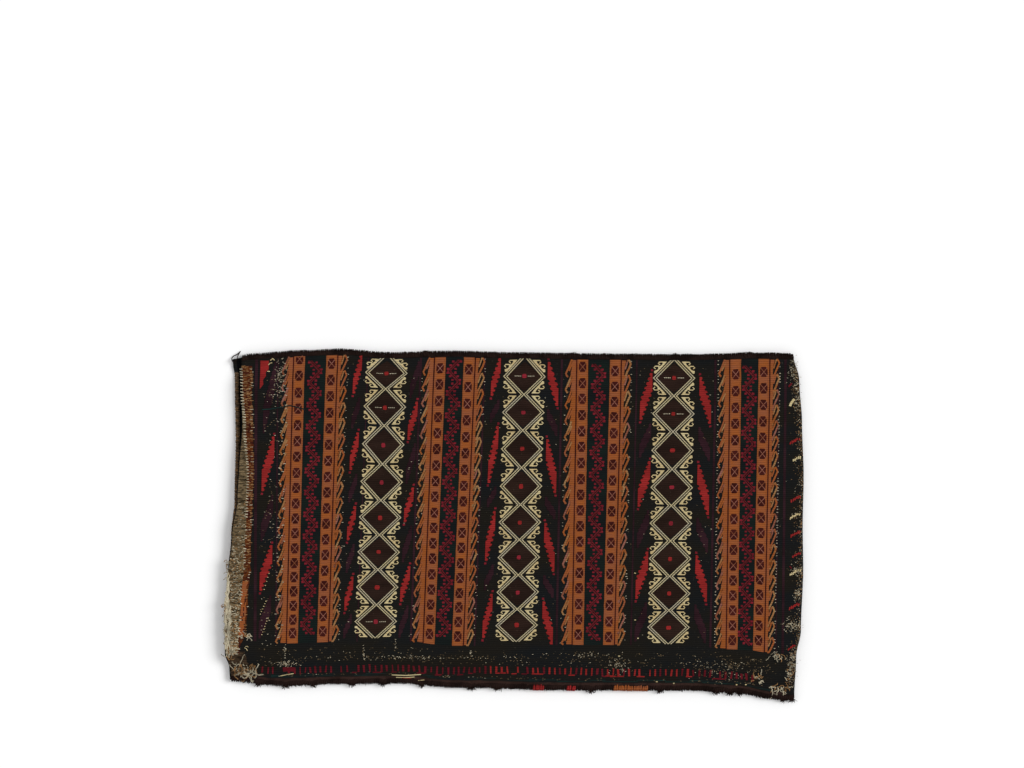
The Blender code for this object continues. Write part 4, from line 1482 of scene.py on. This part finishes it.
def build_mouth(sizes):
    """Lay the worn end of the front panel, its pale stitches, and the stitches of the rolled hem."""
    cloth = Cloth(sizes)
    patch = YarnMesh(cloth, "bare_corner", "bare")
    olive = YarnMesh(cloth, "worn_mouth_weave", "olive")
    strip = YarnMesh(cloth, "worn_orange_strip", "rust")
    tatter = YarnMesh(cloth, "torn_orange_end", "orange")
    fuzz = YarnMesh(cloth, "mouth_fuzz", "straw", 73, 0.0002)
    stitches = YarnMesh(cloth, "mouth_stitches", "bone", 71, 0.0002)
    notches = YarnMesh(cloth, "mouth_notches", "maroon", 72, 0.0003)
    draw = random.Random(sizes.seed + 5)
    relief = sizes.relief
    proud = relief + 0.0003
    mouth_strip(patch, 0.905, 0.985, 16, bare_corner, relief * 0.5)
    mouth_strip(olive, 0.03, 0.915, 90, worn_weave, relief * 0.6)
    mouth_strip(strip, 0.03, 0.915, 90, rusty_strip, relief * 0.8)
    mouth_strip(tatter, 0.690, 0.858, 24, torn_end, relief + 0.0001)

    v = 0.04
    while v < 0.90:
        line = read_line(WORN_LINE, v)
        reach = read_line(WORN_STRIP, v)
        y = bag_y(line, v)
        if v < 0.50 or draw.random() < 0.35:
            early = ease((0.38 - v) / 0.16)
            stitches.dash(line + 0.0006 - 0.0020 * early, y, draw.uniform(0.0030, 0.0044) + 0.0012 * early,
                          draw.uniform(0.0011, 0.0017), relief + 0.0004, draw.uniform(-0.3, 0.1))
        if draw.random() < (0.85 if v < 0.42 else 0.4):
            fringe = stitches if draw.random() < 0.5 else fuzz
            fringe.dash(line + reach - 0.0015 + draw.uniform(-0.002, 0.002), y, draw.uniform(0.0025, 0.0055),
                        0.0009, proud, draw.uniform(-0.1, 0.1))
        if draw.random() < 0.45:
            notches.dash(line + reach * draw.uniform(0.30, 0.85), y, draw.uniform(0.003, 0.007),
                         draw.uniform(0.0012, 0.0024), relief + 0.0002, draw.uniform(1.1, 1.9))
        v += draw.uniform(0.0070, 0.0100)
    for _ in range(STRIP_DASHES):
        v = 0.70 * draw.random() ** 1.4 + 0.03
        line = read_line(WORN_LINE, v)
        x = line + draw.uniform(0.05, 0.95) * read_line(WORN_STRIP, v)
        fuzz.dash(x, bag_y(line, v), draw.uniform(0.0026, 0.0060), draw.uniform(0.0005, 0.0009), proud,
                  draw.uniform(-0.25, 0.25))
    for _ in range(WEAVE_DASHES):
        v = 0.42 + 0.495 * math.sqrt(draw.random())
        start = mouth_x(v) + 0.0008
        x = draw.uniform(start, max(read_line(WORN_LINE, v), start + 0.002))
        strand = stitches if draw.random() < 0.5 else fuzz
        strand.dash(x, bag_y(x, v), draw.uniform(0.0016, 0.0036), draw.uniform(0.0006, 0.0010), proud,
                    draw.uniform(-0.7, 0.7))
    finish(patch, olive, strip, tatter, fuzz, stitches, notches)

    rim = {"rim": bmesh.new(), "straw": bmesh.new()}
    v = DARK_HEM + 0.01
    while v < 0.955:
        points = [hem_point(cloth, v, degrees, 0.0004, 0.0014 * degrees / 100, 0.0003)
                  for degrees in (-30, 0, 30, 60, 90, 118)]
        tube(rim["straw" if draw.random() < 0.30 else "rim"], points, draw.uniform(0.0005, 0.0009), 5)
        v += HEM_STITCH * draw.uniform(0.75, 1.25)
    for kind, mesh in rim.items():
        new_piece(mesh, kind + "_stitches", [kind])


class BAG_OT_mouth(bpy.types.Operator):
    """Build the worn mouth edge and the hem's stitches."""

    bl_idname = "bag.mouth"
    bl_label = "Mouth"

    def execute(self, context):
        build_mouth(context.scene.bag_sizes)
        return {"FINISHED"}


# Side lacing

# Places of the tufts along the lower and the upper side
LOWER_TUFTS = (
    -0.411, -0.367, -0.324, -0.260, -0.209, -0.150, -0.070, -0.028, 0.122, 0.234, 0.322, 0.345, 0.362,
    0.431, 0.444,
)
UPPER_TUFTS = (-0.142, 0.095, 0.258, 0.377)

# One turn of the lacing round the edge, as (share of its reach inwards, distance outwards, height)
LACE_TURN = (
    (1.0, 0.0, -1.0), (0.45, 0.0, -1.0), (0.0, -0.0012, -0.92), (0.0, 0.0009, -0.5), (0.0, 0.0014, 0.0),
    (0.0, 0.0009, 0.5), (0.0, -0.0012, 0.95), (0.45, 0.0, 1.06), (1.0, 0.0, 0.98),
)


def lace_path(cloth, v, way, x, reach, lean, swell):
    """Follow one turn of the lacing round both cloth edges."""
    edge = cloth.across(x, v)
    low = LACE_COVER - 0.0009
    top = LACE_COVER + 2 * cloth.thick + SIDE_GAP + 0.0010
    middle = (low + top) / 2
    half = (top - low) / 2
    return [
        Vector((x + lean * (step / 8 - 0.5), edge + way * (out - reach * share + swell), middle + up * half))
        for step, (share, out, up) in enumerate(LACE_TURN)
    ]


LACE_REACH = 0.0062
LACE_LEAN = 0.0030
# Felted core under the turns, and the lumps at the tufts: height and width
CORE_REACH = 0.0060
LUMP = 0.0014
LUMP_WIDE = 0.0045
# Stretches of the lower side that are overcast in coloured wool
COLOURED_TURNS = ((0.0290, 0.0475, "red"), (0.0830, 0.0975, "red"), (0.1580, 0.2128, "orange"))


def turn_kind(x, way):
    """Give the yarn of one turn of the lacing."""
    for start, end, kind in COLOURED_TURNS:
        if way < 0 and start <= x <= end:
            return kind
    return "goat"


def build_lacing(sizes, name, node, v, way, seed):
    """Wrap one long side in turns of goat-hair yarn over a felted core."""
    cloth = Cloth(sizes)
    draw = random.Random(sizes.seed + seed)
    start = mouth_x(v) + 0.0010
    end = cloth.axis_x(v) + 0.0030
    count = round((end - start) / sizes.stitch)
    core = bmesh.new()
    meshes = {"goat": core}
    top = LACE_COVER + 2 * cloth.thick + SIDE_GAP + 0.0003
    low = LACE_COVER - 0.0003
    tufts, rest = (LOWER_TUFTS, 0.0008) if way < 0 else (UPPER_TUFTS, 0.0014)

    def swell(x):
        """Give how far the lacing stands out: lumps at the tufts, and a rounded end at the fold."""
        lumps = sum(math.exp(-((x - tuft) / LUMP_WIDE) ** 2) for tuft in tufts)
        return rest + LUMP * lumps - 0.0016 * ease((x - end + 0.007) / 0.007)

    rings = []
    for i in range(count + 1):
        x = mix(start, end, i / count)
        edge = cloth.across(x, v)
        inside = [Vector((x, edge + way * out, z))
                  for out, z in ((-CORE_REACH, top), (0.0002, top), (0.0002, low), (-CORE_REACH, low))]
        outside = lace_path(cloth, v, way, x, CORE_REACH, 0.0, max(swell(x) - rest, 0.0))
        rings.append([core.verts.new(p) for p in outside + inside])
    for here, there in zip(rings, rings[1:]):
        for i in range(len(here)):
            j = (i + 1) % len(here)
            core.faces.new((here[i], here[j], there[j], there[i]))
    core.faces.new(rings[0])
    core.faces.new(rings[-1])
    for i in range(count):
        x = mix(start, end, (i + 0.5) / count) + draw.uniform(-0.0006, 0.0006)
        out = swell(x) + 0.0011 * drift(x * 45.0, v * 9.0, 3.0)
        reach = LACE_REACH + draw.uniform(-0.0008, 0.0012)
        points = lace_path(cloth, v, way, x, reach, LACE_LEAN * draw.uniform(0.7, 1.3), out)
        thick = sizes.lace_yarn / 2 * draw.uniform(0.72, 1.0)
        kind = turn_kind(x, way)
        if kind != "goat":
            thick = sizes.stitch * 0.58
        for point in points:
            point.z = max(point.z, thick)
        if kind not in meshes:
            meshes[kind] = bmesh.new()
        tube(meshes[kind], points, [thick * 0.7] + [thick] * 7 + [thick * 0.6], 6)
    for kind, mesh in meshes.items():
        bmesh.ops.recalc_face_normals(mesh, faces=mesh.faces)
        if kind == "goat":
            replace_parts(new_piece(mesh, name, [kind], "goat_hair_yarn"), node)
        else:
            new_piece(mesh, name + "_" + kind, [kind])


class BAG_OT_lacing(bpy.types.Operator):
    """Wrap both long sides in goat-hair lacing."""

    bl_idname = "bag.lacing"
    bl_label = "Side Lacing"

    def execute(self, context):
        sizes = context.scene.bag_sizes
        build_lacing(sizes, "upper_lacing_yarn", "upper_side_lacing", 0.0, 1, 6)
        build_lacing(sizes, "lower_lacing_yarn", "lower_side_lacing", 1.0, -1, 7)
        return {"FINISHED"}


# Frayed edges

# Tufts of the lower and the upper side, as (hairs, length), and single hairs along both sides
LOWER_TUFT = (28, 0.0075)
UPPER_TUFT = (14, 0.0050)
LOOSE_HAIRS = 520
LOOSE_HAIR = 0.0036
# Pale threads that lie along the worn mouth
MOUTH_THREADS = 46


def strand_path(draw, start, heading, length, curl, steps=7, floor=0.0011):
    """Give a loose strand that wanders from its start and comes down onto the floor."""
    points = [start.copy()]
    direction = heading.normalized()
    for _ in range(steps):
        bend = Vector((draw.gauss(0, curl), draw.gauss(0, curl), draw.gauss(0, curl * 0.5) - 0.12))
        direction = (direction + bend).normalized()
        point = points[-1] + direction * (length / steps)
        point.z = max(point.z, floor)
        points.append(point)
    return points


# Loose end of hair that lies over the upper corner of the mouth
CORNER_LOOP = (
    (-0.4398, 0.2781, 0.0012), (-0.4432, 0.2720, 0.0030), (-0.4448, 0.2656, 0.0080),
    (-0.4480, 0.2600, 0.0112), (-0.4517, 0.2616, 0.0090), (-0.4536, 0.2664, 0.0035),
    (-0.4512, 0.2704, 0.0014), (-0.4456, 0.2728, 0.0022), (-0.4416, 0.2760, 0.0012),
)


# Loose warps, as (middle along, middle across, length, width, count, strand length, thickness, curl)
TANGLES = (
    (-0.4340, -0.2320, 0.036, 0.020, 24, 0.022, 0.0007, 0.55),
    (-0.4190, -0.2355, 0.014, 0.010, 12, 0.018, 0.0009, 0.50),
    (-0.4560, -0.2000, 0.012, 0.026, 26, 0.017, 0.0007, 0.45),
    (-0.4600, -0.1570, 0.009, 0.054, 90, 0.007, 0.0005, 0.60),
    (-0.4640, -0.1290, 0.005, 0.006, 10, 0.008, 0.0006, 0.80),
    (-0.4590, -0.0700, 0.006, 0.028, 26, 0.007, 0.0005, 0.60),
    (-0.4290, -0.1790, 0.018, 0.012, 14, 0.012, 0.0007, 0.50),
    (0.4185, -0.2075, 0.020, 0.006, 14, 0.013, 0.0006, 0.45),
    (0.3920, -0.2460, 0.016, 0.020, 15, 0.015, 0.0007, 0.55),
    (0.4255, -0.2630, 0.030, 0.009, 20, 0.017, 0.0007, 0.50),
    (0.4440, -0.2350, 0.016, 0.030, 22, 0.007, 0.0005, 0.70),
)


def build_frays(sizes):
    """Add the tufts of the lacing, the loose goat hair, and the cream tangles at the worn corners."""
    cloth = Cloth(sizes)
    draw = random.Random(sizes.seed + 8)
    dark = bmesh.new()
    pale = bmesh.new()
    brown = bmesh.new()

    def tuft(x, v, way, count, length):
        edge = cloth.across(x, v) + way * 0.0014
        for _ in range(count):
            start = Vector((x + draw.gauss(0, 0.0022), edge, draw.uniform(0.002, 0.009)))
            heading = Vector((draw.gauss(0, 0.5), way, draw.uniform(-0.3, 0.5)))
            path = strand_path(draw, start, heading, length * draw.uniform(0.6, 1.2), 0.5, 5)
            width = draw.uniform(0.0005, 0.0011)
            tube(dark, path, [width * (1 - 0.7 * i / 5) for i in range(6)], 4)

    for x in LOWER_TUFTS:
        tuft(x, 1.0, -1, *LOWER_TUFT)
    for x in UPPER_TUFTS:
        tuft(x, 0.0, 1, *UPPER_TUFT)
    for _ in range(LOOSE_HAIRS):
        v, way = (0.0, 1) if draw.random() < 0.45 else (1.0, -1)
        x = draw.uniform(mouth_x(v), cloth.axis_x(v))
        tuft(x, v, way, 1, LOOSE_HAIR)
    tube(dark, [Vector(place) for place in CORNER_LOOP], 0.0008, 5)
    new_piece(dark, "goat_hair_tufts", ["goat"], "goat_hair_yarn")

    def tangle(x, y, wide, tall, count, length, thick, curl):
        for _ in range(count):
            start = Vector((x + draw.uniform(-0.5, 0.5) * wide, y + draw.uniform(-0.5, 0.5) * tall, 0))
            start.z = cloth.front(start.x, start.y) + draw.uniform(-0.001, 0.0015)
            heading = Vector((draw.gauss(0, 1), draw.gauss(0, 1), 0.1))
            path = strand_path(draw, start, heading, length * draw.uniform(0.5, 1.2), curl, 9)
            for point in path:
                edge = lower_y(point.x)
                if x < 0.0 and point.y < edge:
                    point.y = 2 * edge - point.y
                if cloth.place(point.x, point.y)[0] > 0.0:
                    point.z = max(point.z, cloth.front(point.x, point.y) + 0.0003)
            tube(pale if draw.random() < 0.6 else brown, path, thick * draw.uniform(0.7, 1.2), 4)

    for _ in range(MOUTH_THREADS):
        v = draw.uniform(0.67, 0.905)
        x = mouth_x(v) + draw.uniform(-0.0010, mix(0.0020, 0.0080, ease((v - 0.70) / 0.12)))
        points = []
        long = draw.uniform(0.010, 0.030)
        for step in range(7):
            y = cloth.across(x, v) + long * (step / 6 - 0.5)
            along = x + 0.0014 * math.sin(step * 1.1 + v * 90) + draw.uniform(-0.0004, 0.0004)
            points.append(Vector((along, y, cloth.front(max(along, mouth_x(v)), y) + 0.0008)))
        tube(pale, points, draw.uniform(0.0008, 0.0012), 5)
    for place in TANGLES:
        tangle(*place)
    new_piece(brown, "tan_frays", ["straw"])
    new_piece(pale, "cream_frays", ["bone"])


class BAG_OT_frays(bpy.types.Operator):
    """Add the tufts and frayed strands."""

    bl_idname = "bag.frays"
    bl_label = "Frays"

    def execute(self, context):
        build_frays(context.scene.bag_sizes)
        return {"FINISHED"}


# Stage

# Floor's colour as the bag sees it, and the floor's size
FLOOR_BOUNCE = (0.78, 0.78, 0.78, 1.0)
FLOOR_SIZE = 14.0


def build_stage(settings):
    """Set the floor, the even light, one soft distant lamp and the camera straight above."""
    scene = bpy.context.scene
    scene.view_settings.view_transform = "Standard"
    bpy.ops.mesh.primitive_plane_add(size=FLOOR_SIZE, location=(0, 0, 0))
    floor = bpy.context.object
    floor.name = "floor"
    material, tree, shader = new_material("floor_paper", 1.0, 0.0)
    path = add(tree, "ShaderNodeLightPath").outputs
    seen = calc(tree, "MAXIMUM", path["Is Camera Ray"], path["Is Glossy Ray"])
    colour = colour_mix(tree, seen, FLOOR_BOUNCE, (*settings.floor, 1.0))
    tree.links.new(colour, shader.inputs["Base Color"])
    floor.data.materials.append(material)

    world = bpy.data.worlds.new("even_light")
    world.use_nodes = True
    world.node_tree.nodes["Background"].inputs["Color"].default_value = (1.0, 1.0, 1.0, 1.0)
    world.node_tree.nodes["Background"].inputs["Strength"].default_value = settings.world
    scene.world = world

    lamp = bpy.data.lights.new("soft_lamp", "SUN")
    lamp.energy = settings.key
    lamp.angle = settings.key_size
    holder = bpy.data.objects.new("soft_lamp", lamp)
    flat = math.cos(settings.key_height)
    towards = Vector((flat * math.cos(settings.key_turn), flat * math.sin(settings.key_turn),
                      math.sin(settings.key_height)))
    holder.location = towards * 3.0
    holder.rotation_euler = towards.to_track_quat("Z", "Y").to_euler()
    scene.collection.objects.link(holder)

    camera_data = bpy.data.cameras.new("camera")
    camera_data.lens = settings.lens
    camera_data.sensor_width = 36.0
    camera_data.clip_end = 50.0
    camera = bpy.data.objects.new("camera", camera_data)
    camera.location = (settings.camera_x, settings.camera_y, settings.camera_height)
    scene.collection.objects.link(camera)
    scene.camera = camera


class BAG_OT_stage(bpy.types.Operator):
    """Set the floor, lights and camera."""

    bl_idname = "bag.stage"
    bl_label = "Stage"

    def execute(self, context):
        build_stage(context.scene.bag_stage)
        return {"FINISHED"}


STEPS = (
    BAG_OT_stage, BAG_OT_cloth, BAG_OT_grounds, BAG_OT_bands, BAG_OT_zigzags, BAG_OT_diamonds, BAG_OT_leaves,
    BAG_OT_border, BAG_OT_wear, BAG_OT_mouth, BAG_OT_lacing, BAG_OT_frays,
)


class BAG_PT_panel(bpy.types.Panel):
    """Lists the bag's steps in the sidebar."""

    bl_idname = "BAG_PT_panel"
    bl_label = "Flatweave Bag"
    bl_space_type = "VIEW_3D"
    bl_region_type = "UI"
    bl_category = "Bag"

    def draw(self, context):
        for step in STEPS:
            self.layout.operator(step.bl_idname)


CLASSES = (BagSizes, BagColours, StageSizes, *STEPS, BAG_PT_panel)


def register():
    for each in CLASSES:
        bpy.utils.register_class(each)
    bpy.types.Scene.bag_sizes = PointerProperty(type=BagSizes)
    bpy.types.Scene.bag_colours = PointerProperty(type=BagColours)
    bpy.types.Scene.bag_stage = PointerProperty(type=StageSizes)


def unregister():
    del bpy.types.Scene.bag_sizes
    del bpy.types.Scene.bag_colours
    del bpy.types.Scene.bag_stage
    for each in reversed(CLASSES):
        bpy.utils.unregister_class(each)


def main():
    register()
    bpy.ops.bag.stage()
    bpy.ops.bag.cloth()
    bpy.ops.bag.grounds()
    bpy.ops.bag.bands()
    bpy.ops.bag.zigzags()
    bpy.ops.bag.diamonds()
    bpy.ops.bag.leaves()
    bpy.ops.bag.border()
    bpy.ops.bag.wear()
    bpy.ops.bag.mouth()
    bpy.ops.bag.lacing()
    bpy.ops.bag.frays()


if __name__ == "__main__":
    main()
